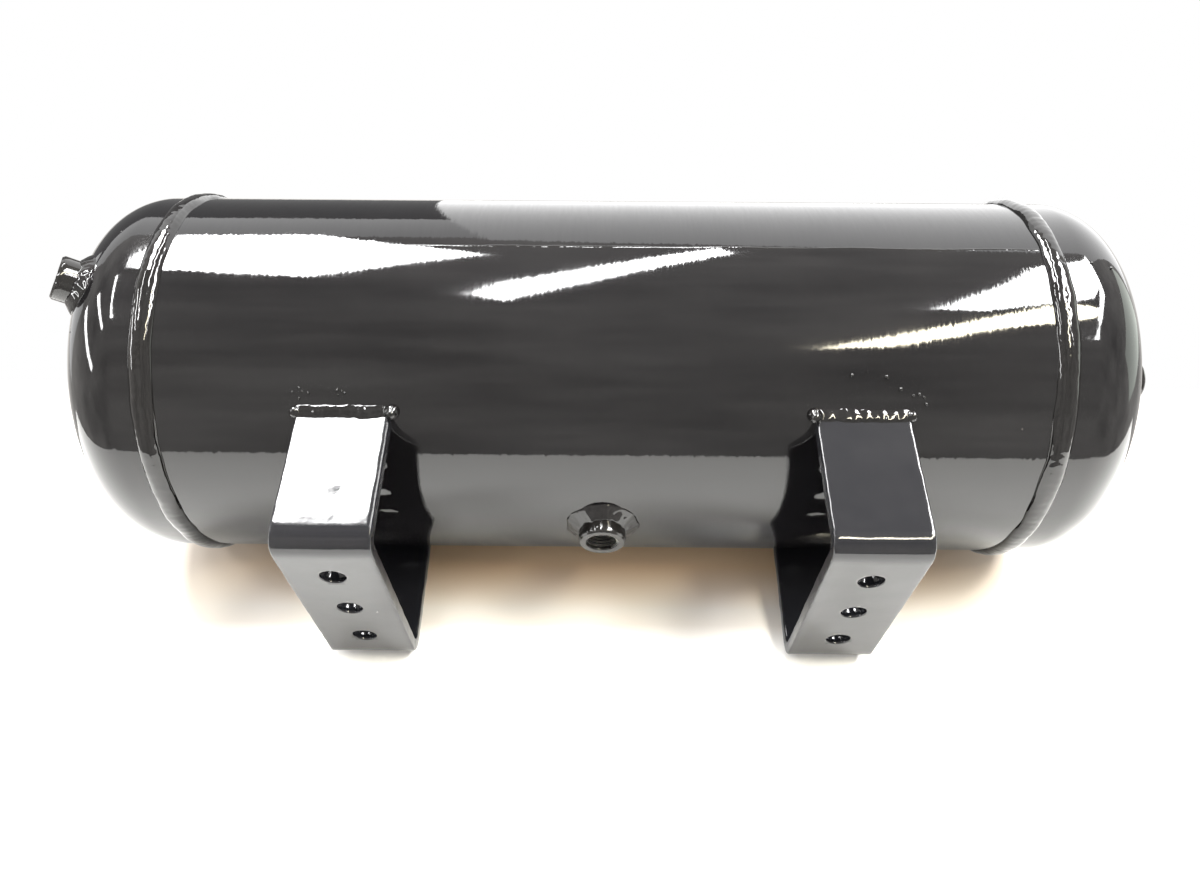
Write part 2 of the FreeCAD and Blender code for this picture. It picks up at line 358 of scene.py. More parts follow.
class Rippling(Recipe):
    """Gives a plain bead its ripples and lumps.

    The bead carries three values at each point: along (metres from its start), across (-1 to 1 from
    toe to toe) and lift (0 where it is sunk in the metal, 1 on its crown).
    """

    def __init__(self) -> None:
        """Builds the tree."""
        super().__init__("bead_ripples", {"Pitch": float, "Ripple": float, "Crescent": float,
                                          "Lump Size": float, "Lump": float, "Seed": float})
        nodes, given = self.nodes, self.given
        along, across, lift = (self.value(name) for name in ("along", "across", "lift"))
        place = nodes.add("GeometryNodeInputPosition").outputs[0]
        normal = nodes.add("GeometryNodeInputNormal").outputs[0]
        lag = nodes.math("MULTIPLY", nodes.math("MULTIPLY", across, across), given["Crescent"])
        uneven = nodes.noise(place, 90.0, detail=1.0, seed=given["Seed"])
        hurry = nodes.math("MULTIPLY", uneven, given["Pitch"])
        travel = nodes.math("ADD", nodes.math("ADD", along, lag), hurry)
        turn = nodes.math("FRACT", nodes.math("DIVIDE", travel, given["Pitch"]))
        centred = nodes.math("SUBTRACT", nodes.math("MULTIPLY", turn, 2.0), 1.0)
        coin = nodes.math("SUBTRACT", 0.6, nodes.math("MULTIPLY", centred, centred))
        ripple = nodes.math("MULTIPLY", coin, given["Ripple"])
        rate = nodes.math("DIVIDE", 1.0, given["Lump Size"])
        swell = nodes.math("SUBTRACT", nodes.noise(place, rate, detail=2.0, seed=given["Seed"]), 0.5)
        lump = nodes.math("MULTIPLY", swell, given["Lump"])
        height = nodes.math("MULTIPLY", nodes.math("ADD", ripple, lump), lift)
        moved = nodes.add("GeometryNodeSetPosition", {0: given["Geometry"],
                                                      "Offset": nodes.scaled(normal, height)})
        self.close(moved.outputs[0])

    def value(self, name: str) -> Socket:
        """A number that the bead's points carry."""
        node = self.nodes.add("GeometryNodeInputNamedAttribute", {"Name": name}, data_type="FLOAT")
        return node.outputs[0]


class Spattering(Recipe):
    """Drops small beads of metal on patches of plate, as crowded as each patch says."""

    def __init__(self) -> None:
        """Builds the tree."""
        super().__init__("weld_spatter", {"Crowding": float, "Smallest": float, "Largest": float,
                                          "Seed": int})
        nodes, given = self.nodes, self.given
        add = nodes.add
        share = add("GeometryNodeInputNamedAttribute", {"Name": "crowding"}, data_type="FLOAT")
        density = nodes.math("MULTIPLY", share.outputs[0], given["Crowding"])
        points = add("GeometryNodeDistributePointsOnFaces",
                     {"Mesh": given["Geometry"], "Density": density, "Seed": given["Seed"]},
                     distribute_method="RANDOM")
        chance = add("FunctionNodeRandomValue", {2: 0.0, 3: 1.0, "Seed": given["Seed"]},
                     data_type="FLOAT")
        small = nodes.math("POWER", chance.outputs[1], 2.0)
        spread = nodes.math("SUBTRACT", given["Largest"], given["Smallest"])
        size = nodes.math("ADD", given["Smallest"], nodes.math("MULTIPLY", small, spread))
        ball = add("GeometryNodeMeshIcoSphere", {"Radius": 1.0, "Subdivisions": 3})
        drops = add("GeometryNodeInstanceOnPoints", {"Points": points.outputs[0], "Scale": size,
                                                     "Instance": ball.outputs[0]})
        self.close(drops.outputs[0])


# ---- mesh helpers -------------------------------------------------------------------------

def settled(mesh: Mesh, *steps: Callable) -> Mesh:
    """Runs modifiers on a mesh.

    Args:
        mesh: the mesh to start from.
        steps: functions that each add a modifier to an object.

    Returns:
        The evaluated result as a plain mesh, with no modifier left.
    """
    carrier = bpy.data.objects.new("carrier", mesh)
    bpy.context.scene.collection.objects.link(carrier)
    for step in steps:
        step(carrier)
    shape = carrier.evaluated_get(bpy.context.evaluated_depsgraph_get())
    result = bpy.data.meshes.new_from_object(shape)
    bpy.data.objects.remove(carrier)
    return result


def tidied(mesh: Mesh) -> Mesh:
    """The same closed mesh with all its faces turned outwards.

    Args:
        mesh: a closed mesh, which is changed in place.

    Returns:
        The same mesh.
    """
    work = bmesh.new()
    work.from_mesh(mesh)
    bmesh.ops.recalc_face_normals(work, faces=work.faces)
    work.to_mesh(mesh)
    work.free()
    return mesh


def carry(mesh: Mesh, values: dict[str, np.ndarray]) -> None:
    """Stores one number for each point of a mesh, under each name.

    Args:
        mesh: the mesh.
        values: the numbers, by name, in the order of the points.
    """
    for name, numbers in values.items():
        layer = mesh.attributes.new(name, "FLOAT", "POINT")
        layer.data.foreach_set("value", np.asarray(numbers, np.float32).ravel())


def ringed(rings: np.ndarray, closed: bool, **values: np.ndarray) -> Mesh:
    """Joins rings of points into one closed skin.

    Args:
        rings: positions, as ring, point and xyz.
        closed: whether the last ring joins the first. If not, both end rings are capped.
        values: numbers that the points carry, shaped as rings and points.

    Returns:
        The mesh.
    """
    count, size = rings.shape[:2]
    step = [(j, (j + 1) % size) for j in range(size)]
    faces: list[tuple[int, ...]] = []
    for i in range(count if closed else count - 1):
        a, b = i * size, (i + 1) % count * size
        faces += [(a + j, a + k, b + k, b + j) for j, k in step]
    if not closed:
        faces += [tuple(range(size)), tuple(range((count - 1) * size, count * size))]
    mesh = bpy.data.meshes.new("rings")
    mesh.from_pydata(rings.reshape(-1, 3).tolist(), [], faces)
    carry(mesh, values)
    return tidied(mesh)


def bead_skin(rings: Sequence, along: Sequence[float], across: np.ndarray, lift: np.ndarray,
              closed: bool) -> Mesh:
    """A bead's plain skin, which carries what its ripples need.

    Args:
        rings: positions, as ring, point and xyz.
        along: how far along the bead each ring is.
        across: for each point of a ring, -1 to 1 from toe to toe.
        lift: for each point of a ring, 0 where it is sunk in the metal and 1 on its crown.
        closed: whether the bead runs into itself.

    Returns:
        The mesh.
    """
    places = np.array(rings)
    shape = places.shape[:2]
    return ringed(places, closed, along=np.broadcast_to(np.array(along)[:, None], shape),
                  across=np.broadcast_to(across, shape), lift=np.broadcast_to(lift, shape))


def outline_mesh(points: Sequence[Flat], closed: bool, core: float) -> Mesh:
    """An outline of (radius, height) points as a chain of edges, for the turning recipes.

    Args:
        points: the outline.
        closed: whether its last point joins its first.
        core: radius of the circle that it is swept round.

    Returns:
        The edges, with X as the distance from the core and Y as -Z.
    """
    count = len(points)
    edges = [(i, (i + 1) % count) for i in range(count if closed else count - 1)]
    mesh = bpy.data.meshes.new("outline")
    mesh.from_pydata([(radius - core, -height, 0) for radius, height in points], edges, [])
    return mesh


def arc(centre: Flat, radius: float, start: float, end: float,
        count: int) -> list[Flat]:
    """Points of an arc in an outline.

    Args:
        centre: (radius, height) of the arc's centre.
        radius: the arc's radius.
        start, end: angles from the height direction, in radians, towards larger radii.
        count: how many points, both ends included.

    Returns:
        The points.
    """
    return [(centre[0] + radius * math.sin(a), centre[1] + radius * math.cos(a))
            for a in np.linspace(start, end, count)]


def line(start: Flat, end: Flat, count: int) -> list[Flat]:
    """Evenly spaced points from start to end, both included."""
    return [tuple(point) for point in np.linspace(start, end, count)]


def drilled(mesh: Mesh, cutters: Iterable[Mesh]) -> Mesh:
    """The mesh with each cutter taken out of it.

    Args:
        mesh: the plate.
        cutters: what is taken out of it.

    Returns:
        A new mesh.
    """
    for cutter in cutters:
        tool = bpy.data.objects.new("tool", cutter)
        bpy.context.scene.collection.objects.link(tool)

        def cut(carrier: Piece, tool: Piece = tool) -> None:
            """Adds the cut.

            Args:
                carrier: the object that gets the modifier.
                tool: what is taken out of it.
            """
            modifier = carrier.modifiers.new("cut", "BOOLEAN")
            modifier.operation = "DIFFERENCE"
            modifier.solver = "EXACT"
            modifier.object = tool
        mesh = settled(mesh, cut)
        bpy.data.objects.remove(tool)
    return mesh


def drill(radius: float, low: float, high: float, ease: float = 0.0) -> Mesh:
    """A drill along local Z, from low to high, that opens by ease at both plate faces.

    Args:
        radius: the hole's radius.
        low, high: the plate's two faces, on local Z.
        ease: how far the hole opens at a face.

    Returns:
        The cutter.
    """
    levels = [(low - 2 * MM, ease), (low, ease), (low + ease * 0.3, ease * 0.45), (low + ease, 0.0),
              (high - ease, 0.0), (high - ease * 0.3, ease * 0.45), (high, ease), (high + 2 * MM, ease)]
    angles = np.linspace(0, 2 * math.pi, 64, endpoint=False)
    rings = np.array([[((radius + out) * math.cos(a), (radius + out) * math.sin(a), z) for a in angles]
                      for z, out in levels])
    return ringed(rings, False)


def placed(mesh: Mesh, point: Vector, direction: Vector) -> Mesh:
    """The mesh moved so that its local Z axis starts at point and runs along direction.

    Args:
        mesh: a mesh on the local Z axis, which is changed in place.
        point: where the axis starts.
        direction: where it runs.

    Returns:
        The same mesh.
    """
    turn = direction.to_track_quat("Z", "Y").to_matrix().to_4x4()
    mesh.transform(Matrix.Translation(point) @ turn)
    return mesh


def hand_over(name: str, mesh: Mesh, coat: "Coat", nodes: Sequence[str] = (),
              crease: float = PLATE_CREASE) -> Piece:
    """Makes the finished piece and joins it to the frame.

    Args:
        name: the piece's name.
        mesh: its mesh, in place.
        coat: its finish.
        nodes: the frame's nodes that it stands for.
        crease: edges that turn more than this many degrees stay hard.

    Returns:
        The piece.
    """
    mesh.materials.clear()
    mesh.materials.append(coat.material())
    mesh.shade_smooth()
    mesh.set_sharp_from_angle(angle=math.radians(crease))
    mesh.name = name
    piece = bpy.data.objects.new(name, mesh)
    bpy.context.scene.collection.objects.link(piece)
    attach(piece, BODY)
    if nodes:
        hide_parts(*nodes)
    return piece


def wander(place: float, seed: float, reach: float) -> float:
    """A smooth seeded wobble between -reach and reach."""
    return noise.noise(Vector((place, seed, 0.37))) * reach


# ---- finishes -----------------------------------------------------------------------------

@dataclass(frozen=True)
class Coat:
    """A gloss coat over steel, or the bare steel. Lengths are in metres."""

    name: str
    slot: Slot | None
    black: Colour                   # the coat's own colour, or the bare steel's
    dust: Colour                    # what has settled on it
    dust_share: float               # how much of it shows
    roughness: Flat                 # clean and dull patches
    peel: float                     # width of the orange peel's cells
    peel_depth: float
    hair: Triple                    # width of the plate's marks along X, Y and Z
    hair_depth: float
    metal: float = 0.0
    comb: float = 0.0               # how far fine marks round the vessel tip the light, in radians

    COMB_RATE: ClassVar[Triple] = (1100.0, 90.0, 90.0)     # marks on a metre, along X, Y and Z

    def material(self) -> bpy.types.Material:
        """The coat's material, made once."""
        return bpy.data.materials.get(self.name) or self.mixed()

    def mixed(self) -> bpy.types.Material:
        """Builds the material.

        Returns:
            The material.
        """
        material = bpy.data.materials.new(self.name)
        material.use_nodes = True
        nodes = Nodes(material.node_tree)
        place = nodes.add("ShaderNodeTexCoord").outputs["Object"]
        shader = nodes.add("ShaderNodeBsdfPrincipled", {"Metallic": self.metal, "IOR": 1.5})
        nodes.feed(shader.inputs["Base Color"], self.colour(nodes, place))
        nodes.feed(shader.inputs["Roughness"], self.dullness(nodes, place))
        nodes.feed(shader.inputs["Normal"], self.relief(nodes, place))
        nodes.add("ShaderNodeOutputMaterial", {"Surface": shader.outputs[0]})
        return material

    def colour(self, nodes: Nodes, place: Socket) -> Socket:
        """Black with faint clouds of dust, and a few bright specks.

        Args:
            nodes: the material's nodes.
            place: Object coordinates.

        Returns:
            The colour.
        """
        clouds = nodes.noise(place, 38.0, detail=4.0, seed=1.7, rough=0.6)
        cloud = nodes.ramp(clouds, 0.45, 0.8, end=self.dust_share)
        specks = nodes.add("ShaderNodeTexVoronoi", {"Vector": place, "Scale": 70.0})
        near = nodes.math("LESS_THAN", specks.outputs["Distance"], 0.03)
        chance = nodes.add("ShaderNodeSeparateColor", {0: specks.outputs["Color"]}).outputs[0]
        few = nodes.math("GREATER_THAN", chance, 0.82)
        speck = nodes.math("MULTIPLY", nodes.math("MULTIPLY", near, few), 0.5)
        share = nodes.math("MAXIMUM", cloud, speck)
        return nodes.blend(share, self.black, self.dust)

    def dullness(self, nodes: Nodes, place: Socket) -> Socket:
        """Roughness between the clean and the dull patches.

        Args:
            nodes: the material's nodes.
            place: Object coordinates.

        Returns:
            The roughness.
        """
        patches = nodes.noise(place, 24.0, detail=5.0, seed=5.1, rough=0.65)
        return nodes.ramp(patches, 0.35, 0.75, *self.roughness)

    def relief(self, nodes: Nodes, place: Socket) -> Socket:
        """Orange peel over the plate's own marks, as a bump.

        Args:
            nodes: the material's nodes.
            place: Object coordinates.

        Returns:
            The bumped normal.
        """
        grain = nodes.vector("MULTIPLY", place, tuple(1.0 / width for width in self.hair))
        marks = nodes.noise(grain, 1.0, detail=3.0, seed=2.3, rough=0.6)
        first = nodes.add("ShaderNodeBump", {"Strength": 1.0, "Distance": self.hair_depth,
                                             "Height": marks, "Normal": self.combed(nodes, place)})
        cells = nodes.noise(place, 1.0 / self.peel, detail=1.5, seed=8.9)
        second = nodes.add("ShaderNodeBump", {"Strength": 1.0, "Distance": self.peel_depth,
                                              "Height": cells, "Normal": first.outputs[0]})
        return second.outputs[0]

    def combed(self, nodes: Nodes, place: Socket) -> Socket:
        """The surface's normal, tipped round the vessel's axis by fine marks side by side along X.

        Args:
            nodes: the material's nodes.
            place: Object coordinates.

        Returns:
            The tipped normal.
        """
        facing = nodes.add("ShaderNodeNewGeometry").outputs["Normal"]
        round_axis = nodes.vector("CROSS_PRODUCT", (1.0, 0.0, 0.0), facing)
        grain = nodes.vector("MULTIPLY", place, self.COMB_RATE)
        sway = nodes.math("SUBTRACT", nodes.noise(grain, 1.0, seed=4.4, rough=0.6), 0.5)
        tip = nodes.scaled(round_axis, nodes.math("MULTIPLY", sway, self.comb))
        return nodes.vector("NORMALIZE", nodes.vector("ADD", facing, tip))


class Coats:
    """The receiver's finishes."""

    TANK = Coat("tank_gloss_black", Slot.TANK, black=(0.0034, 0.0032, 0.0036), dust=(0.20, 0.18, 0.17),
                dust_share=0.008, roughness=(0.03, 0.09), peel=2.6 * MM, peel_depth=0.006 * MM,
                hair=(1.4 * MM, 12 * MM, 12 * MM), hair_depth=0.010 * MM, comb=0.040)
    HEAD = Coat("head_gloss_black", Slot.TANK, black=(0.0034, 0.0032, 0.0036), dust=(0.20, 0.18, 0.17),
                dust_share=0.008, roughness=(0.03, 0.08), peel=3.0 * MM, peel_depth=0.008 * MM,
                hair=(6 * MM, 6 * MM, 6 * MM), hair_depth=0.020 * MM, comb=0.015)
    WELD = Coat("weld_gloss_black", Slot.WELD, black=(0.0038, 0.0035, 0.0035), dust=(0.22, 0.18, 0.15),
                dust_share=0.010, roughness=(0.03, 0.10), peel=1.5 * MM, peel_depth=0.010 * MM,
                hair=(3 * MM, 3 * MM, 3 * MM), hair_depth=0.020 * MM)
    BRACKET = Coat("bracket_gloss_black", Slot.BRACKET, black=(0.0070, 0.0072, 0.0088),
                   dust=(0.24, 0.23, 0.22), dust_share=0.012, roughness=(0.05, 0.13), peel=2.4 * MM,
                   peel_depth=0.012 * MM, hair=(7 * MM, 4 * MM, 4 * MM), hair_depth=0.030 * MM)
    PORT = Coat("port_gloss_black", Slot.PORT, black=(0.0055, 0.0050, 0.0046), dust=(0.24, 0.20, 0.17),
                dust_share=0.012, roughness=(0.05, 0.12), peel=1.2 * MM, peel_depth=0.006 * MM,
                hair=(2 * MM, 2 * MM, 2 * MM), hair_depth=0.008 * MM)
    THREAD = Coat("bare_steel_thread", None, black=(0.58, 0.57, 0.55), dust=(0.40, 0.36, 0.32),
                  dust_share=0.1, roughness=(0.22, 0.40), peel=1.0 * MM, peel_depth=0.002 * MM,
                  hair=(2 * MM, 2 * MM, 2 * MM), hair_depth=0.002 * MM, metal=1.0)


# ---- the vessel's outside -----------------------------------------------------------------

@dataclass(frozen=True)
class Envelope:
    """The vessel's outside, which the other sub-assemblies are fitted to."""

    axis_z: float
    radius: float
    shell_end: float
    girth_x: float
    cap_half: float
    cap_height: float
    pole_x: float
    crown_r: float = 137.0 * MM
    knuckle_r: float = 26.4 * MM
    wall: float = 2.5 * MM

    @classmethod
    def from_frame(cls) -> "Envelope":
        """Reads the vessel's sizes from the frame's boxes.

        Returns:
            The vessel's outside.
        """
        low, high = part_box("tank_shell")
        cap_low, cap_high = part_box("right_girth_weld")
        radius = (high.z - low.z) / 2
        axis_z = (high.z + low.z) / 2
        return cls(axis_z=axis_z, radius=radius, shell_end=high.x,
                   girth_x=(cap_low.x + cap_high.x) / 2, cap_half=(cap_high.x - cap_low.x) / 2,
                   cap_height=cap_high.z - axis_z - radius, pole_x=-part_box("left_head")[0].x)

    @property
    def ring_r(self) -> float:
        """Radius of the circle that the knuckle's arc is centred on."""
        return self.radius - self.knuckle_r

    @property
    def join_angle(self) -> float:
        """Where crown and knuckle meet, as the lean of their shared normal from the axis."""
        return math.asin(self.ring_r / (self.crown_r - self.knuckle_r))

    @property
    def dish_x(self) -> float:
        """Where a head's flange ends and its knuckle starts."""
        return self.pole_x - self.crown_r + (self.crown_r - self.knuckle_r) * math.cos(self.join_angle)

    def distance(self, point: Vector) -> float:
        """How far a point is outside the vessel's skin.

        Args:
            point: any point outside the vessel.

        Returns:
            The gap.
        """
        x, r = abs(point.x), math.hypot(point.y, point.z - self.axis_z)
        if x <= self.dish_x:
            return r - self.radius
        run, rise = x - self.dish_x, r - self.ring_r
        if rise > run * math.tan(self.join_angle):
            return math.hypot(run, rise) - self.knuckle_r
        return math.hypot(x - self.pole_x + self.crown_r, r) - self.crown_r

    def land(self, point: Vector, direction: Vector) -> Vector:
        """Where a straight way from an outside point first meets the skin.

        Args:
            point: where to start from.
            direction: the way to go, as a unit vector.

        Returns:
            The point on the skin.
        """
        for _ in range(60):
            gap = self.distance(point)
            if gap < MM / 1000:
                break
            point = point + direction * gap
        return point

    def around(self, clock: float) -> Vector:
        """Unit direction from the axis, in degrees from the top towards the front."""
        a = math.radians(clock)
        return Vector((0, -math.sin(a), math.cos(a)))

    def spot(self, x: float, clock: float) -> Vector:
        """A point of the skin at x and a clock angle."""
        start = Vector((x, 0, self.axis_z)) + self.around(clock) * self.radius * 1.5
        return self.land(start, -self.around(clock))


# ---- sub-assemblies -----------------------------------------------------------------------

@dataclass(frozen=True)
class Ripples:
    """How a bead was laid. Lengths are in metres."""

    pitch: float
    height: float
    crescent: float                     # how far a ripple's ends lag behind its middle
    lump_size: float
    lump: float


@dataclass
class Tools:
    """The node recipes, made once for all sub-assemblies."""

    turning: Turning
    winding: Winding
    rippling: Rippling
    spattering: Spattering

    def rippled(self, ripples: Ripples, seed: float) -> Callable:
        """A modifier step that gives a bead its ripples.

        Args:
            ripples: how the bead was laid.
            seed: picks its lumps.

        Returns:
            The step.
        """
        return self.rippling.step(Coats.WELD.material(), Pitch=ripples.pitch, Ripple=ripples.height,
                                  Crescent=ripples.crescent, Lump_Size=ripples.lump_size,
                                  Lump=ripples.lump, Seed=seed)


@dataclass
class Vessel:
    """The rolled shell, its seam, the two heads and their girth welds."""

    skin: Envelope
    tools: Tools
    ports: dict[Port, Hole]
    skirt_length: float = 12.0 * MM     # inside the shell, from the girth weld's centre
    skirt_clearance: float = 0.15 * MM
    hole_clearance: float = 0.15 * MM
    facets: int = 360
    core: float = 10.0 * MM             # circle that outlines are swept round
    seam_clock: float = 87.5
    seam_half: float = 0.6 * MM
    seam_height: float = 0.05 * MM
    seam_peak: float = 0.02 * MM        # the rolled edges stand proud beside the seam
    seam_peak_width: float = 9.0        # degrees
    seam_ripples: Ripples = Ripples(1.6 * MM, 0.02 * MM, 0.5 * MM, 2.5 * MM, 0.14 * MM)
    girth_width: float = 0.84           # of the frame's bead, and how it varies
    girth_width_sway: float = 0.09
    girth_rise: float = 1.08
    girth_rise_sway: float = 0.14
    girth_shift: float = 0.4 * MM
    girth_ripples: Ripples = Ripples(3.4 * MM, 0.05 * MM, 2.0 * MM, 6 * MM, 0.6 * MM)

    def turned(self, points: Sequence[Flat], closed: bool, seed: float,
               wave_length: float, wave_height: float, coat: Coat) -> Mesh:
        """An outline of (radius, height along the vessel) points turned round the vessel's axis.

        Args:
            points: (radius, height along the vessel).
            closed: whether the last point joins the first.
            seed: picks the waves.
            wave_length, wave_height: the skin's waves.
            coat: the finish.

        Returns:
            The mesh, in place.
        """
        step = self.tools.turning.step(coat.material(), Core=self.core, Facets=self.facets, Seed=seed,
                                       Wave_Length=wave_length, Wave_Height=wave_height)
        mesh = tidied(settled(outline_mesh(points, closed, self.core), step))
        return placed(mesh, Vector((0, 0, self.skin.axis_z)), Vector((1, 0, 0)))

    def shell(self, hole: Hole) -> Piece:
        """The rolled plate with its drain hole.

        Args:
            hole: the drain's.

        Returns:
            The piece.
        """
        skin = self.skin
        end, bore = skin.shell_end, skin.radius - skin.wall
        outline = line((skin.radius, -end), (skin.radius, end), 161) + line((bore, end), (bore, -end), 17)
        mesh = self.turned(outline, True, 3.0, 34 * MM, 0.06 * MM, Coats.TANK)
        self.peak(mesh)
        mesh = drilled(mesh, [self.cutter(*hole)])
        return hand_over("rolled_shell", mesh, Coats.TANK, ["tank_shell"])

    def peak(self, mesh: Mesh) -> None:
        """Lifts the plate a little beside the seam, where its edges resisted the rolls.

        Args:
            mesh: the shell, which is changed in place.
        """
        points = np.empty(len(mesh.vertices) * 3)
        mesh.vertices.foreach_get("co", points)
        points = points.reshape(-1, 3)
        y, z = points[:, 1], points[:, 2] - self.skin.axis_z
        clock = np.degrees(np.arctan2(-y, z))
        away = np.abs(clock - self.seam_clock) / self.seam_peak_width
        lift = 1 + self.seam_peak / self.skin.radius * np.clip(1 - away, 0, 1) ** 1.5
        points[:, 1] = y * lift
        points[:, 2] = z * lift + self.skin.axis_z
        mesh.vertices.foreach_set("co", points.ravel())

    def cutter(self, point: Vector, out: Vector, radius: float) -> Mesh:
        """A drill through the wall at a port."""
        return placed(drill(radius + self.hole_clearance, -10 * MM, 10 * MM), point, out)

    def head_outline(self) -> list[Flat]:
        """The right head's outline, from its outside pole round the skirt to its inside pole.

        Returns:
            (radius, height along the vessel) points.
        """
        skin = self.skin
        crown, ring = (0.0, skin.pole_x - skin.crown_r), (skin.ring_r, skin.dish_x)
        join, right = skin.join_angle, math.pi / 2
        shoulder = 2 * skin.girth_x - skin.shell_end
        skirt_r = skin.radius - skin.wall - self.skirt_clearance
        skirt_x = skin.girth_x - self.skirt_length
        joggle = skin.wall + self.skirt_clearance
        outside = arc(crown, skin.crown_r, 0, join, 34) + arc(ring, skin.knuckle_r, join, right, 26)[1:]
        outside += line((skin.radius, skin.dish_x), (skin.radius, shoulder), 6)[1:]
        skirt = [(skirt_r, shoulder), (skirt_r, skirt_x), (skirt_r - skin.wall, skirt_x),
                 (skirt_r - skin.wall, shoulder), (skin.radius - skin.wall, shoulder + joggle)]
        inside = arc(ring, skin.knuckle_r - skin.wall, right, join, 12)
        inside += arc(crown, skin.crown_r - skin.wall, join, 0, 12)[1:]
        return outside + skirt + inside

    def head(self, side: Side, hole: Hole) -> Piece:
        """One dished head with its port's hole.

        Args:
            side: which end it closes.
            hole: its port's.

        Returns:
            The piece.
        """
        outline = self.head_outline()
        if side is Side.LEFT:
            outline = [(radius, -height) for radius, height in outline]
        mesh = self.turned(outline, False, 7.0 + side.value, 26 * MM, 0.10 * MM, Coats.HEAD)
        mesh = drilled(mesh, [self.cutter(*hole)])
        return hand_over(side.word + "_dished_head", mesh, Coats.HEAD, [side.word + "_head"])

    def girth_bead(self, side: Side) -> Piece:
        """The raised weld between the shell and one head.

        Args:
            side: which head it holds.

        Returns:
            The piece.
        """
        skin, seed = self.skin, 11.0 * side.value
        count, across = 720, np.linspace(-1, 1, 23)
        crown = (1 - np.abs(across) ** 2.4) ** 0.85
        rings, along = [], []
        for i in range(count):
            a = 2 * math.pi * i / count
            edge = Vector((math.cos(a), math.sin(a), seed))
            half = skin.cap_half * (self.girth_width + self.girth_width_sway * noise.noise(edge * 6.0))
            shift = self.girth_shift * noise.noise(edge * 7.1 + Vector((5, 0, 0)))
            swell = self.girth_rise_sway * noise.noise(edge * 4.0 + Vector((0, 9, 0)))
            height = skin.cap_height * (self.girth_rise + swell)
            x = side.value * skin.girth_x + shift + half * across
            r = skin.radius + height * crown
            x = np.concatenate([x, [x[-1], x[0]]])
            r = np.concatenate([r, [skin.radius - MM, skin.radius - MM]])
            rings.append(np.stack([x, r * math.sin(a), skin.axis_z + r * math.cos(a)], axis=1))
            along.append(skin.radius * a)
        lift = np.concatenate([np.clip((1 - np.abs(across)) * 4, 0, 1), [0, 0]])
        mesh = bead_skin(rings, along, np.concatenate([across, [1, -1]]), lift, True)
        mesh = settled(mesh, self.tools.rippled(self.girth_ripples, seed))
        return hand_over(side.word + "_girth_bead", mesh, Coats.WELD, [side.word + "_girth_weld"],
                         BEAD_CREASE)

    def seam_bead(self) -> Piece:
        """The thin bead along the shell, which was dressed nearly flush.

        Returns:
            The piece.
        """
        skin = self.skin
        reach = skin.girth_x - skin.cap_half * 0.8
        count, across = 700, np.linspace(-1, 1, 9)
        crown = 1 - np.abs(across) ** 2
        rings, along = [], []
        for x in np.linspace(-reach, reach, count):
            half = self.seam_half * (1 + wander(x * 160, 1.0, 0.35))
            shift = wander(x * 60, 2.0, 0.5 * MM)
            height = self.seam_peak + self.seam_height * (0.8 + wander(x * 240, 3.0, 0.35))
            width = np.concatenate([shift + half * across, [shift + half, shift - half]])
            r = np.concatenate([skin.radius + height * crown, [skin.radius - MM / 2] * 2])
            clocks = [self.seam_clock + math.degrees(w / skin.radius) for w in width]
            rings.append([tuple(Vector((x, 0, skin.axis_z)) + skin.around(clock) * radius)
                          for clock, radius in zip(clocks, r)])
            along.append(x + reach)
        lift = np.concatenate([np.clip((1 - np.abs(across)) * 3, 0, 1), [0, 0]])
        mesh = bead_skin(rings, along, np.concatenate([across, [1, -1]]), lift, False)
        mesh = settled(mesh, self.tools.rippled(self.seam_ripples, 4.0))
        return hand_over("shell_seam_bead", mesh, Coats.WELD, ["shell_seam_weld"], BEAD_CREASE)

    def build(self) -> list[Piece]:
        """Builds all the vessel's pieces round its ports.

        Returns:
            The pieces.
        """
        return [self.shell(self.ports[Port.DRAIN]), self.seam_bead(),
                self.head(Side.LEFT, self.ports[Port.LEFT]), self.head(Side.RIGHT, self.ports[Port.RIGHT]),
                *(self.girth_bead(side) for side in Side)]


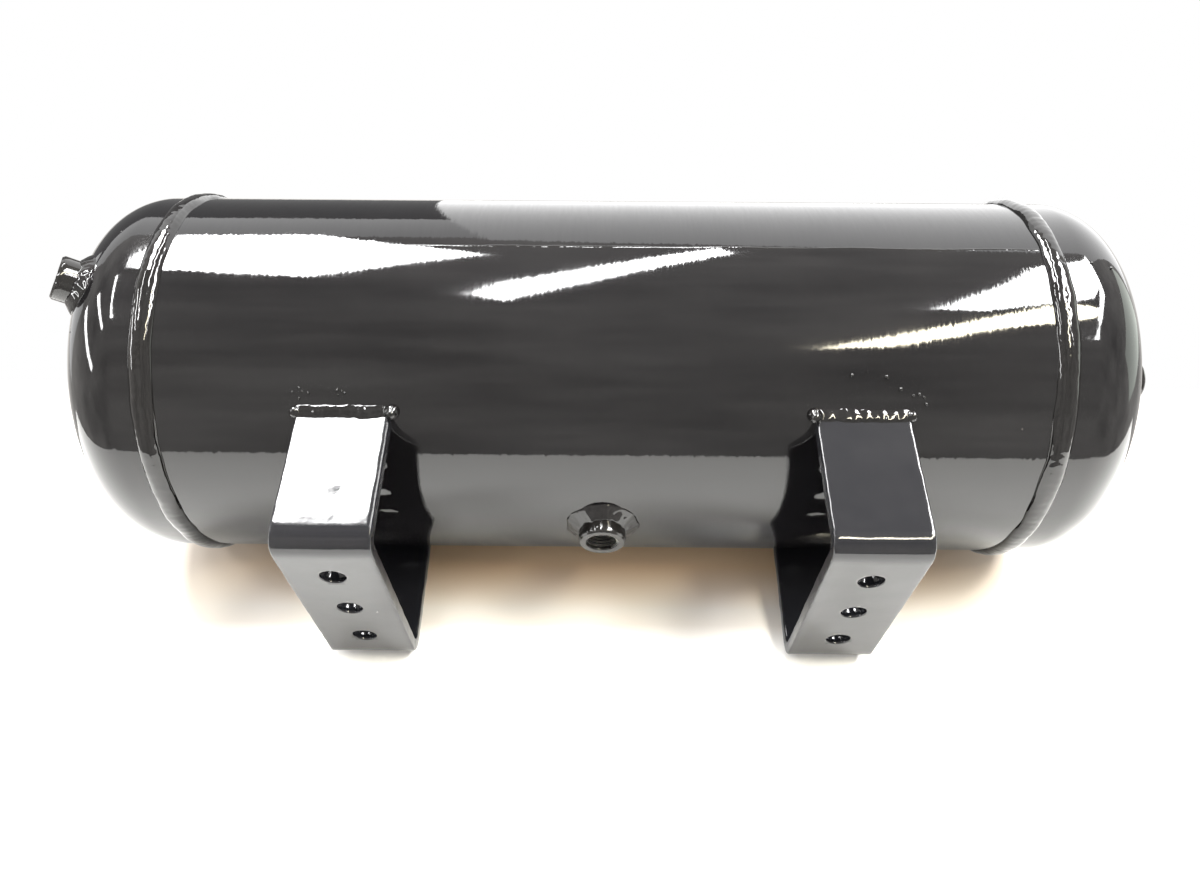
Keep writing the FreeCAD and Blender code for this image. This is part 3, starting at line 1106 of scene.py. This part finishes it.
@dataclass
class Bung:
    """A threaded boss through the wall, and the fillet that holds it."""

    port: Port
    node: str
    weld_node: str
    diameter: float
    stand: float                        # past the wall's outside
    weld_leg: float
    seed: float
    skin: Envelope
    tools: Tools
    inside: float = 3.0 * MM            # past the wall's inside
    chamfer: float = 0.8 * MM
    mouth_r: float = 6.4 * MM
    thread_root_r: float = 6.15 * MM
    thread_pitch: float = 1.411 * MM
    thread_ridge: float = 0.62 * MM
    core: float = 3.0 * MM              # circle that the outline is swept round
    crease: float = 28.0
    climb: float = 0.72                 # the fillet's leg up the bung, as a share of its other leg
    crown: float = 0.8 * MM             # how far the fillet bulges
    ripples: Ripples = Ripples(2.6 * MM, 0.10 * MM, 1.6 * MM, 4 * MM, 0.8 * MM)

    def seat(self) -> tuple[Vector, Vector]:
        """Where the port's axis leaves the wall, and its outward direction.

        Returns:
            The two vectors.
        """
        mount = next(m for m in frame["record"]["mounts"] if m["name"] == self.port.value)
        out = Vector(mount["axis"]).normalized()
        return self.skin.land(Vector(mount["pos_m"]) + out * 60 * MM, -out), out

    def hole(self) -> Hole:
        """The port's place, direction and the bung's radius, for the hole in the wall."""
        return (*self.seat(), self.diameter / 2)

    def outline(self) -> list[Flat]:
        """The bung's section, its barrel first and its bore last, with eased corners.

        Returns:
            (radius, height) points, with the wall's outside at 0.
        """
        r, ease = self.diameter / 2, 0.25 * MM
        low, top = -(self.skin.wall + self.inside), self.stand
        sink = self.mouth_r - self.thread_root_r
        return [(r, low), (r, low / 2), *line((r, 0), (r, top - self.chamfer - ease), 6),
                (r - ease * 0.3, top - self.chamfer), (r - ease * 0.6, top - self.chamfer + ease * 0.3),
                (r - self.chamfer + ease * 0.6, top - ease * 0.6),
                (r - self.chamfer + ease * 0.3, top - ease * 0.2), (r - self.chamfer, top),
                *line((r - self.chamfer - ease, top), (self.mouth_r + ease, top), 4),
                (self.mouth_r + ease * 0.3, top - ease * 0.1), (self.mouth_r, top - ease * 0.5),
                (self.thread_root_r, top - sink - 0.5 * MM),
                (self.thread_root_r, low)]

    def barrel(self) -> Piece:
        """The turned boss.

        Returns:
            The piece.
        """
        step = self.tools.turning.step(Coats.PORT.material(), Core=self.core, Facets=112,
                                       Seed=self.seed, Wave_Length=20 * MM, Wave_Height=0.0)
        mesh = tidied(settled(outline_mesh(self.outline(), True, self.core), step))
        return hand_over(self.node + "_turned", placed(mesh, *self.seat()), Coats.PORT, [self.node],
                         self.crease)

    def thread(self) -> Piece:
        """The tapped thread, which the paint didn't reach.

        Returns:
            The piece.
        """
        length = self.skin.wall + self.inside + self.stand - 1.3 * MM
        step = self.tools.winding.step(
            Coats.THREAD.material(), Root_Radius=self.thread_root_r, Ridge=self.thread_ridge,
            Turns=length / self.thread_pitch, Length=length,
            Start=-(self.skin.wall + self.inside) + 0.4 * MM)
        mesh = tidied(settled(bpy.data.meshes.new("thread"), step))
        return hand_over(self.node + "_thread", placed(mesh, *self.seat()), Coats.THREAD, (),
                         self.crease)

    def fillet(self) -> Piece:
        """The rippled bead round the bung's foot, laid on the vessel's skin.

        Returns:
            The piece.
        """
        seat, out = self.seat()
        turn = out.to_track_quat("Z", "Y").to_matrix()
        r, count, steps = self.diameter / 2, 160, np.linspace(0, 1, 12)
        rings, along = [], []
        for i in range(count):
            a = 2 * math.pi * i / count
            radial = turn @ Vector((math.cos(a), math.sin(a), 0))
            edge = Vector((math.cos(a), math.sin(a), self.seed))
            leg = self.weld_leg * (1 + 0.22 * noise.noise(edge * 2.6))
            climb = self.weld_leg * self.climb * (1 + 0.22 * noise.noise(edge * 3.4 + Vector((0, 0, 4))))
            ring = []
            for s in steps:
                foot = self.skin.land(seat + out * 40 * MM + radial * (r + leg * (1 - s)), -out)
                rise = self.crown * math.sin(s * math.pi) ** 0.7 + climb * s ** 2
                ring.append(foot + out * rise)
            ring.append(ring[-1] - radial * MM * 0.6)
            ring.append(self.skin.land(seat + out * 40 * MM + radial * (r - 0.6 * MM), -out) - out * MM)
            ring.append(ring[0] - out * MM)
            rings.append([tuple(point) for point in ring])
            along.append((r + leg / 2) * a)
        lift = np.concatenate([np.clip(steps * (1 - steps) * 6, 0, 1), [0, 0, 0]])
        mesh = bead_skin(rings, along, np.concatenate([steps * 2 - 1, [1, 0, -1]]), lift, True)
        mesh = settled(mesh, self.tools.rippled(self.ripples, self.seed))
        return hand_over(self.weld_node + "_fillet", mesh, Coats.WELD, [self.weld_node],
                         BEAD_CREASE)

    def build(self) -> list[Piece]:
        """Builds the bung, its thread and its fillet."""
        return [self.barrel(), self.thread(), self.fillet()]


@dataclass
class Foot:
    """A flat bar bent to a U, and the fillets that join its two legs to the shell."""

    side: Side
    skin: Envelope
    tools: Tools
    thickness: float = 5.0 * MM
    bend_inside: float = 3.5 * MM
    hole_r: float = 4.75 * MM
    hole_pitch: float = 27.0 * MM
    edge_r: float = 0.7 * MM            # eased long edges of the bar
    hollow: float = 0.3 * MM            # dip across a leg's outer face, above its bend
    dent: float = 0.13 * MM             # dents beside the bends, less elsewhere
    sheared: float = 1.2 * MM           # strip along each edge that the shears left rough
    shear: float = 0.16 * MM            # how rough
    sink: float = 0.3 * MM              # leg ends reach this far into the shell's weld
    weld_leg: float = 4.2 * MM
    weld_overrun: float = 2.2 * MM
    toe_up: float = 0.66                # the fillet's reach up the shell, as a share of its leg
    toe_down: float = 0.8               # and down the bar
    voxel: float = 0.33 * MM
    body: float = 0.62                  # how full the fillet is between its toes
    bulge: float = 0.55                 # how far its face bulges, and its root sinks
    ripples: Ripples = Ripples(3.4 * MM, 0.07 * MM, 1.4 * MM, 5 * MM, 0.7 * MM)
    inboard_lumps: tuple[float, ...] = (0.4, 1.8, 3.2)      # mm back from the leg's outer face
    outboard_lumps: tuple[float, ...] = (0.4, 1.6)
    inboard_lump_r: float = 2.7         # mm
    outboard_lump_r: float = 2.1
    crease: float = 50.0
    centre_x: float = field(init=False)
    half_width: float = field(init=False)
    reach: float = field(init=False)

    def __post_init__(self) -> None:
        """Reads the foot's place from the frame."""
        low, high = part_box(self.side.word + "_bracket")
        self.centre_x = (low.x + high.x) / 2
        self.half_width = (high.x - low.x) / 2
        self.reach = (high.y - low.y) / 2

    def section(self) -> np.ndarray:
        """The bar's section as (along X, through the thickness) points with eased corners.

        Returns:
            The points, in order round the bar.
        """
        a, b, r = self.half_width, self.thickness / 2, self.edge_r
        quarter = math.pi / 2
        corners = [[(sx * (a - r) + r * math.cos(turn), sy * (b - r) + r * math.sin(turn))
                    for turn in np.linspace(k * quarter, (k + 1) * quarter, 5)]
                   for k, (sx, sy) in enumerate(((1, 1), (-1, 1), (-1, -1), (1, -1)))]
        points: list[Flat] = []
        for k, corner in enumerate(corners):
            count = 4 if k % 2 else 26
            points += corner + line(corner[-1], corners[(k + 1) % 4][0], count)[1:-1]
        return np.array(points)

    def route(self) -> list[tuple[float, float, float, float]]:
        """The bar's middle line from the front leg to the back leg.

        Returns:
            For each ring: y, z, the outward normal's angle from -Z towards +Y, and how far up the
            leg it is (0 from the bend down, 1 at the shell).
        """
        mid_r = self.bend_inside + self.thickness / 2
        outer = self.reach - self.thickness / 2
        top = self.thickness / 2 + mid_r
        stations = [(-outer, top, -math.pi / 2, t) for t in np.linspace(1, 0, 44)]
        stations += [(-(outer - mid_r) - mid_r * math.sin(t), top - mid_r * math.cos(t), -t, 0.0)
                     for t in np.linspace(math.pi / 2, 0, 13)[1:]]
        stations += [(y, self.thickness / 2, 0.0, 0.0)
                     for y in np.linspace(-(outer - mid_r), outer - mid_r, 44)[1:-1]]
        return stations + [(-y, z, -turn, t) for y, z, turn, t in reversed(stations[:56])]

    def bar(self) -> Piece:
        """The bent bar with its leg ends cut to the shell and its bolt holes drilled.

        Returns:
            The piece.
        """
        section = self.section()
        rings = []
        for y, z, turn, up in self.route():
            out_y, out_z = math.sin(turn), -math.cos(turn)
            dip = self.hollow * abs(math.sin(turn)) * min(1.6 * (1 - up), 1.0)
            depth = section[:, 1] - dip * (section[:, 1] > 0) * (1 - (section[:, 0] / self.half_width) ** 2)
            px = self.centre_x + section[:, 0]
            py = y + depth * out_y
            pz = z + depth * out_z
            shell_r = self.skin.radius - self.sink
            shell_z = self.skin.axis_z - np.sqrt(np.maximum(shell_r ** 2 - py ** 2, 0))
            pz = pz + up * (shell_z - pz)
            rings.append(np.stack([px, py, pz], axis=1))
        mesh = ringed(self.worked(np.array(rings), section), False)
        drills = [placed(drill(self.hole_r, 0, self.thickness, 0.35 * MM),
                         Vector((self.centre_x, i * self.hole_pitch, 0)), Vector((0, 0, 1)))
                  for i in (-1, 0, 1)]
        name = self.side.word + "_bracket"
        return hand_over(self.side.word + "_foot_bar", drilled(mesh, drills), Coats.BRACKET, [name],
                         self.crease)

    def worked(self, rings: np.ndarray, section: np.ndarray) -> np.ndarray:
        """Gives the bar its rolled faces, sheared edges and the hollows beside its bends.

        Args:
            rings: the bar's points, as ring, point and xyz, which are changed in place.
            section: the bar's section.

        Returns:
            The same points.
        """
        edge = np.abs(section[:, 0]) > self.half_width - self.sheared
        out = rings - rings.mean(axis=1, keepdims=True)
        out[..., 0] *= np.where(edge, 1.0, 0.15)
        out /= np.maximum(np.linalg.norm(out, axis=2, keepdims=True), JOIN)
        seed = Vector((31.0 * self.side.value, 0, 0))
        for i, ring in enumerate(rings):
            for j, point in enumerate(ring):
                place = Vector(point) + seed
                near_bend = 2 * self.thickness < point[2] < 5 * self.thickness
                depth = noise.noise(place * 120) * self.dent * (1.0 if near_bend else 0.35)
                if edge[j]:
                    depth += noise.noise(place * 260) * self.shear
                ring[j] = point + out[i, j] * depth
        return rings

    def bead(self, leg: Leg) -> Piece:
        """The fillet at one leg's end; a front leg's fillet also gets lumps round each side of the leg.

        Args:
            leg: which leg it holds.

        Returns:
            The piece.
        """
        skin = self.skin
        corner_y = self.reach
        corner_z = skin.axis_z - math.sqrt(skin.radius ** 2 - corner_y ** 2)
        outward = np.array([corner_y, corner_z - skin.axis_z]) / skin.radius
        up_shell = np.array([-outward[1], outward[0]])
        down_leg = np.array([0.0, -1.0])
        seed = 17.0 * self.side.value + 5.0 * leg.value
        half = self.half_width + self.weld_overrun
        angles = np.linspace(0, 2 * math.pi, 28, endpoint=False)
        toe_a = up_shell * self.weld_leg * self.toe_up
        toe_b = down_leg * self.weld_leg * self.toe_down
        chord, swell = (toe_a - toe_b) / 2, (toe_a + toe_b) / 2
        rings, along = [], []
        for s in np.linspace(-1, 1, 120):
            x = s * half
            taper = (1 - abs(s) ** 9) ** 0.5 if abs(s) < 1 else 0.05
            size = max(taper, 0.05) * (1 + wander(x * 330, seed, 0.2))
            drop = wander(x * 150, seed + 3, 0.5 * MM)
            ring = []
            for angle in angles:
                fullness = self.body + self.bulge * math.sin(angle) * size
                flat = chord * math.cos(angle) * size + swell * fullness
                ring.append((self.centre_x + x, leg.value * (corner_y + flat[0]),
                             corner_z + flat[1] + drop))
            rings.append(ring)
            along.append(x + half)
        mesh = bead_skin(rings, along, np.cos(angles), np.clip(np.sin(angles) * 2 + 0.6, 0, 1), False)
        if leg is Leg.FRONT:
            self.add_returns(mesh, leg, corner_z, up_shell, seed)
        mesh = settled(mesh, self.tools.rippled(self.ripples, seed), self.fuse, self.smooth)
        name = "_".join((self.side.word, leg.word, "leg"))
        return hand_over(name + "_bead", mesh, Coats.WELD, [name + "_weld"], MELTED_CREASE)

    def add_returns(self, mesh: Mesh, leg: Leg, corner_z: float, up_shell: np.ndarray,
                    seed: float) -> None:
        """Adds the lumps where the weld turns round the leg's two sides.

        Args:
            mesh: the plain fillet, which is changed in place.
            leg: which leg it holds.
            corner_z: height of the leg's outer end.
            up_shell: (y, z) direction up the shell there.
            seed: picks the lumps' sizes.
        """
        work = bmesh.new()
        work.from_mesh(mesh)
        layers = [work.verts.layers.float[name] for name in ("along", "across", "lift")]
        for side in (-1, 1):
            inboard = side * self.side.value < 0
            largest = self.inboard_lump_r if inboard else self.outboard_lump_r
            for k, back in enumerate(self.inboard_lumps if inboard else self.outboard_lumps):
                radius = (largest - 0.35 * k + wander(k * 7.0 + side, seed, 0.4)) * MM
                at = Vector((self.centre_x + side * (self.half_width + 0.5 * MM),
                             leg.value * (self.reach - up_shell[0] * -back * MM - 1.2 * MM * (k > 0)),
                             corner_z - up_shell[1] * back * MM * 0.9))
                made = bmesh.ops.create_icosphere(work, subdivisions=3, radius=radius,
                                                  matrix=Matrix.Translation(at))
                for vert in made["verts"]:
                    for layer, value in zip(layers, (vert.co.x, 0.0, 0.6)):
                        vert[layer] = value
        work.to_mesh(mesh)
        work.free()

    def fuse(self, carrier: Piece) -> None:
        """Melts overlapping lumps into one skin.

        Args:
            carrier: the object that gets the modifier.
        """
        modifier = carrier.modifiers.new("fuse", "REMESH")
        modifier.mode = "VOXEL"
        modifier.voxel_size = self.voxel

    def smooth(self, carrier: Piece) -> None:
        """Rounds the fused skin.

        Args:
            carrier: the object that gets the modifier.
        """
        modifier = carrier.modifiers.new("smooth", "SMOOTH")
        modifier.factor = 0.5
        modifier.iterations = 4

    def build(self) -> list[Piece]:
        """Builds the foot's bar and its two fillets."""
        return [self.bar(), *(self.bead(leg) for leg in Leg)]


@dataclass(frozen=True)
class Patch:
    """A patch of the skin that spatter fell on."""

    x: float
    clock: float                        # degrees from the top towards the front
    length: float                       # along X
    sweep: float                        # degrees
    share: float                        # how crowded it is


@dataclass
class Spatter:
    """Small drops of weld metal that stuck to the plate under the paint."""

    skin: Envelope
    tools: Tools
    smallest: float = 0.35 * MM
    largest: float = 0.85 * MM
    crowding: float = 20000.0           # drops on a square metre of a full patch
    steps: int = 8                      # faces along each side of a patch
    seed: int = 12
    patches: tuple[Patch, ...] = (
        Patch(-103 * MM, 133.5, 24 * MM, 3.6, 7.0), Patch(114 * MM, 133.0, 10 * MM, 5.0, 6.0),
        Patch(-88 * MM, 128.0, 24 * MM, 8.0, 0.25), Patch(92 * MM, 129.0, 30 * MM, 7.0, 0.25),
        Patch(190 * MM, 102.0, 16 * MM, 22.0, 0.4), Patch(-192 * MM, 100.0, 22 * MM, 40.0, 0.08))

    def build(self) -> list[Piece]:
        """Drops the spatter near the front welds and on the heads.

        Returns:
            The one piece that all the drops are in.
        """
        across = np.linspace(-0.5, 0.5, self.steps + 1)
        row = self.steps + 1
        points, faces, crowds = [], [], []
        for patch in self.patches:
            start = len(points)
            corners = [start + i * row + j for i in range(self.steps) for j in range(self.steps)]
            faces += [(k, k + 1, k + row + 1, k + row) for k in corners]
            points += [tuple(self.skin.spot(patch.x + i * patch.length, patch.clock + j * patch.sweep))
                       for i in across for j in across]
            crowds += [patch.share] * row ** 2
        mesh = bpy.data.meshes.new("patches")
        mesh.from_pydata(points, [], faces)
        carry(mesh, {"crowding": np.array(crowds)})
        step = self.tools.spattering.step(Coats.WELD.material(), Crowding=self.crowding,
                                          Smallest=self.smallest, Largest=self.largest, Seed=self.seed)
        return [hand_over("weld_spatter", settled(mesh, step), Coats.WELD, (), MELTED_CREASE)]


# ---- studio -------------------------------------------------------------------------------

@dataclass(frozen=True)
class Panel:
    """A flat light that the camera doesn't see.

    Its outline is in the lying tank's directions: right, forward and up from the vessel's axis.
    """

    name: str
    outline: tuple[Triple, ...]
    radiance: float
    tint: Colour = (1.0, 1.0, 1.0)


def ceiling(points: Sequence[Flat], height: float = 2.0) -> tuple:
    """An outline on the ceiling from (right, forward) points."""
    return tuple((right, forward, height) for right, forward in points)


def far_wall(points: Sequence[Flat], distance: float = 3.0) -> tuple:
    """An outline on the far wall from (right, up) points given as slopes."""
    return tuple((right * distance, distance, up * distance) for right, up in points)


def side_wall(points: Sequence[Flat], right: float) -> tuple:
    """An outline on a side wall from (forward, up) points."""
    return tuple((right, forward, up) for forward, up in points)


@dataclass
class Studio:
    """Camera, pale ground, floor, room and lights.

    The camera looks at the tank as it lies rolled back on a pale ground with its feet forward, so
    the ground stands behind the upright tank. A level floor serves the upright views.
    """

    skin: Envelope
    lean: float = 12.9                  # degrees that the ground leans from upright
    eye: Triple = (0.0, -0.3250, -0.2544)   # from the middle of the vessel's axis
    pitch: float = 33.97                # degrees that the camera looks up
    yaw: float = 0.185
    roll: float = 0.470
    lens: float = 27.45
    sensor: float = 36.0
    ground_near: float = 0.54           # how far the ground reaches in front of the tank
    ground_light: Colour = (1.04, 1.03, 1.01)
    # painted shade: the ground takes this darker colour from 18 mm up, under the lying tank
    ground_painted_shade: Colour = (0.79, 0.745, 0.69)
    ground_painted_contact_shade: Colour = (0.84, 0.61, 0.40)     # painted warm shade close under the tank
    mirror_light: Colour = (0.84, 0.84, 0.83)       # the same ground as the tank mirrors it
    # painted shade: the mirrored ground takes this darker, warm colour close under the tank
    mirror_painted_contact_shade: Colour = (0.50, 0.43, 0.35)
    mirror_top: float = 0.095           # the tank mirrors no ground above this height
    room: Colour = (1.02, 0.99, 0.95)
    window: float = 50.0

    def turn(self, right: float, forward: float, up: float) -> Vector:
        """A vector in the lying tank's directions as one in the frame's."""
        c, s = math.cos(math.radians(self.lean)), math.sin(math.radians(self.lean))
        return Vector((right, s * forward - c * up, c * forward + s * up))

    def point(self, right: float, forward: float, up: float) -> Vector:
        """A point from the vessel's axis, in the lying tank's directions."""
        return Vector((0, 0, self.skin.axis_z)) + self.turn(right, forward, up)

    def panels(self) -> list[Panel]:
        """The lights: roof windows and slits, the bright, the dark and the grey far wall, and the side walls.

        Returns:
            The panels.
        """
        window = self.window
        return [
            Panel("left_roof_window", ceiling(((-0.33, 1.10), (-0.98, 2.08), (-1.42, 2.0), (-1.22, 0.58),
                                               (-0.74, 0.37))), window),
            Panel("middle_roof_strip", ceiling(((-0.33, -0.02), (-0.25, -0.18), (0.36, 1.20),
                                                (0.34, 1.44), (-0.27, 0.24))), window),
            Panel("right_roof_window", ceiling(((0.82, -0.28), (0.95, -0.32), (1.12, -0.10),
                                                (1.60, 0.35), (2.02, 0.36), (1.78, 0.75),
                                                (1.50, 1.30), (1.12, 0.78))), window),
            Panel("warm_roof_strip", ceiling(((0.62, -1.32), (0.82, -1.24), (1.04, -0.72),
                                              (1.40, -0.30), (1.12, -0.14), (0.88, -0.68))), window,
                  (1.0, 0.93, 0.72)),
            Panel("bright_far_wall", far_wall(((-0.2, -0.30), (-0.2, 1.07), (1.4, 1.62), (1.4, -0.30))),
                  2.9),
            Panel("dark_far_wall", far_wall(((-1.8, -0.30), (-1.8, 0.47), (-0.2, 0.47), (-0.2, -0.30))),
                  0.26),
            Panel("grey_far_wall", far_wall(((-1.8, 0.47), (-1.8, 1.0), (-0.2, 1.0), (-0.2, 0.47))), 2.0),
            Panel("right_roof_end", ceiling(((1.66, 0.34), (2.02, 0.34), (1.42, -0.62), (1.30, -0.50))),
                  window),
            Panel("right_roof_slit", ceiling(((1.32, -0.2), (1.40, -0.2), (1.38, -1.0), (1.34, -1.0))),
                  window),
            Panel("left_roof_slit", ceiling(((-1.28, 0.40), (-1.38, 0.40), (-1.36, -0.64),
                                             (-1.30, -0.64))), window),
            Panel("left_high_slit", side_wall(((0.44, 2.1), (0.44, 2.4), (-1.29, 3.3), (-1.29, 3.0)), -3.0),
                  window * 0.6),
            Panel("left_low_slit", side_wall(((0.55, 0.95), (0.55, 1.15), (-1.4, 1.35), (-1.4, 1.15)), -3.0),
                  window * 0.5),
            Panel("right_side_wall", side_wall(((1.9, -0.8), (1.9, 0.9), (-0.3, 0.9), (-0.3, -0.2)), 3.0),
                  2.6, (0.94, 1.0, 0.92)),
            Panel("left_side_wall", side_wall(((2.2, -1.0), (2.2, 0.7), (0.8, 0.6), (0.8, -0.8)), -3.0),
                  2.0),
        ]

    def hang(self, name: str, corners: Sequence[Vector], shader: Callable) -> Piece:
        """Makes one flat stage piece.

        Args:
            name: its name.
            corners: its outline.
            shader: fills its material's nodes.

        Returns:
            The object.
        """
        mesh = bpy.data.meshes.new(name)
        mesh.from_pydata([tuple(c) for c in corners], [], [tuple(range(len(corners)))])
        material = bpy.data.materials.new(name)
        material.use_nodes = True
        shader(Nodes(material.node_tree))
        mesh.materials.append(material)
        card = bpy.data.objects.new(name, mesh)
        bpy.context.scene.collection.objects.link(card)
        return card

    def light(self, panel: Panel) -> None:
        """Hangs one panel.

        Args:
            panel: its outline and glow.
        """
        def shader(nodes: Nodes) -> None:
            """An even glow.

            Args:
                nodes: the material's nodes.
            """
            glow = nodes.add("ShaderNodeEmission", {"Color": (*panel.tint, 1.0),
                                                    "Strength": panel.radiance})
            nodes.add("ShaderNodeOutputMaterial", {"Surface": glow.outputs[0]})
        card = self.hang(panel.name, [self.point(*corner) for corner in panel.outline], shader)
        card.visible_camera = False
        card.visible_shadow = False

    def pale(self, nodes: Nodes, seen: Socket, colour: Any) -> None:
        """A pale matt surface that is there only as far as seen says, and only from its front.

        Args:
            nodes: the material's nodes.
            seen: 1 where the surface is there.
            colour: its colour.
        """
        back = nodes.add("ShaderNodeNewGeometry").outputs["Backfacing"]
        share = nodes.math("MULTIPLY", seen, nodes.math("SUBTRACT", 1.0, back))
        matt = nodes.add("ShaderNodeBsdfDiffuse", {"Color": colour})
        clear = nodes.add("ShaderNodeBsdfTransparent")
        mix = nodes.add("ShaderNodeMixShader", {0: share, 1: clear.outputs[0], 2: matt.outputs[0]})
        nodes.add("ShaderNodeOutputMaterial", {"Surface": mix.outputs[0]})

    def ground(self) -> None:
        """The pale ground that the tank lies on, which stands behind the upright tank."""
        def shader(nodes: Nodes) -> None:
            """Matt, and mirrored only below the upright tank, where a floor would be. Painted shade darkens
            it under the lying tank, warm close to the contact, both as the camera sees it and as the tank
            mirrors it.

            Args:
                nodes: the material's nodes.
            """
            place = nodes.add("ShaderNodeNewGeometry").outputs["Position"]
            right, _, height = nodes.add("ShaderNodeSeparateXYZ", {0: place}).outputs
            fade = nodes.ramp(height, 0.18, 0.10)
            high = nodes.math("GREATER_THAN", height, self.mirror_top)
            mirrored = nodes.add("ShaderNodeLightPath").outputs["Is Glossy Ray"]
            seen = nodes.math("SUBTRACT", 1.0, nodes.math("MULTIPLY", mirrored, high))
            # painted shade: these masks pick the ground within the tank's length and close under it
            inside = nodes.ramp(nodes.math("ABSOLUTE", right), 0.21, 0.13)
            close = nodes.math("MULTIPLY", nodes.ramp(height, 0.026, 0.050), inside)
            under = nodes.math("MULTIPLY", nodes.ramp(height, 0.02, 0.075), inside)
            # painted shade: the ground the camera sees is darker from 18 mm up and lightest below 4 mm
            pale = nodes.blend(nodes.ramp(height, 0.018, 0.004), self.ground_painted_shade, self.ground_light)
            ground_with_painted_shade = nodes.blend(close, pale, self.ground_painted_contact_shade)
            # painted shade in the mirrored ground close under the tank
            mirror = nodes.blend(under, self.mirror_light, self.mirror_painted_contact_shade)
            self.pale(nodes, nodes.math("MULTIPLY", seen, fade), nodes.blend(mirrored, ground_with_painted_shade, mirror))
        near, far, down = -self.ground_near, 0.35, -self.skin.radius
        corners = [self.point(r, f, down) for r, f in ((-0.5, near), (0.5, near), (0.5, far), (-0.5, far))]
        card = self.hang("lying_ground", corners, shader)
        card.visible_shadow = False

    def floor(self) -> None:
        """The level floor under the feet, for views of the upright tank."""
        def shader(nodes: Nodes) -> None:
            """Matt, fading out away from the tank.

            Args:
                nodes: the material's nodes.
            """
            place = nodes.add("ShaderNodeNewGeometry").outputs["Position"]
            reach = nodes.add("ShaderNodeVectorMath", {0: place}, operation="LENGTH").outputs["Value"]
            fade = nodes.ramp(reach, 0.85, 0.5)
            self.pale(nodes, fade, (0.84, 0.83, 0.81, 1.0))
        half = 0.9
        corners = [Vector((x, y, 0)) for x, y in ((-half, -half), (half, -half), (half, half), (-half, half))]
        card = self.hang("level_floor", corners, shader)
        card.visible_glossy = False
        card.visible_diffuse = False
        card.visible_shadow = False

    def surroundings(self) -> None:
        """A white surround for the camera, and a dim uneven room for all other rays."""
        world = bpy.data.worlds.new("room")
        world.use_nodes = True
        nodes = Nodes(world.node_tree)
        direction = nodes.add("ShaderNodeTexCoord").outputs["Generated"]
        patches = nodes.noise(direction, 3.2, detail=4.0, seed=6.0, rough=0.6)
        level = nodes.ramp(patches, 0.3, 0.7, 0.55, 1.35)
        room = nodes.add("ShaderNodeBackground", {"Color": (*self.room, 1.0), "Strength": level})
        white = nodes.add("ShaderNodeBackground", {"Color": (1.0, 1.0, 1.0, 1.0), "Strength": 1.0})
        seen = nodes.add("ShaderNodeLightPath").outputs["Is Camera Ray"]
        mix = nodes.add("ShaderNodeMixShader", {0: seen, 1: room.outputs[0], 2: white.outputs[0]})
        nodes.add("ShaderNodeOutputWorld", {"Surface": mix.outputs[0]})
        bpy.context.scene.world = world

    def camera(self) -> None:
        """A camera below and in front of the tank, looking up at its feet."""
        data = bpy.data.cameras.new("camera")
        data.lens = self.lens
        data.sensor_width = self.sensor
        data.clip_start = 0.01
        camera = bpy.data.objects.new("camera", data)
        tilt = Matrix.Rotation(math.radians(90 + self.pitch), 4, "X")
        yaw = Matrix.Rotation(math.radians(self.yaw), 4, "Y")
        roll = Matrix.Rotation(math.radians(self.roll), 4, "Z")
        eye = Vector((0, 0, self.skin.axis_z)) + Vector(self.eye)
        camera.matrix_world = Matrix.Translation(eye) @ tilt @ yaw @ roll
        bpy.context.scene.collection.objects.link(camera)
        bpy.context.scene.camera = camera

    def build(self) -> None:
        """Sets up everything that isn't part of the receiver."""
        self.camera()
        self.surroundings()
        self.ground()
        self.floor()
        for panel in self.panels():
            self.light(panel)
        bpy.context.scene.view_settings.view_transform = "Standard"


# ---- assembly -----------------------------------------------------------------------------

def bungs(skin: Envelope, tools: Tools) -> list[Bung]:
    """The three threaded bosses.

    Args:
        skin: the vessel's outside.
        tools: the node recipes.

    Returns:
        The drain's, the left head's and the right head's.
    """
    return [Bung(port, bung, weld, diameter * MM, stand * MM, leg * MM, seed, skin, tools)
            for port, bung, weld, diameter, stand, leg, seed in (
                (Port.DRAIN, "drain_bung", "drain_weld", 19.0, 8.0, 5.0, 2.0),
                (Port.LEFT, "left_port_bung", "left_port_weld", 17.5, 8.0, 4.0, 5.0),
                (Port.RIGHT, "right_port_bung", "right_port_weld", 19.0, 18.0, 4.0, 9.0))]


def main() -> None:
    """Builds the studio and every sub-assembly in order, and reports each piece."""
    logging.basicConfig(level=logging.INFO, format="%(name)s: %(message)s")
    skin = Envelope.from_frame()
    tools = Tools(Turning(), Winding(), Rippling(), Spattering())
    Studio(skin).build()
    bosses = bungs(skin, tools)
    vessel = Vessel(skin, tools, {boss.port: boss.hole() for boss in bosses})
    feet = [Foot(side, skin, tools) for side in Side]
    for assembly in (vessel, *bosses, *feet, Spatter(skin, tools)):
        for piece in assembly.build():
            LOG.info("%s: %d faces", piece.name, len(piece.data.polygons))


if __name__ == "__main__":
    main()
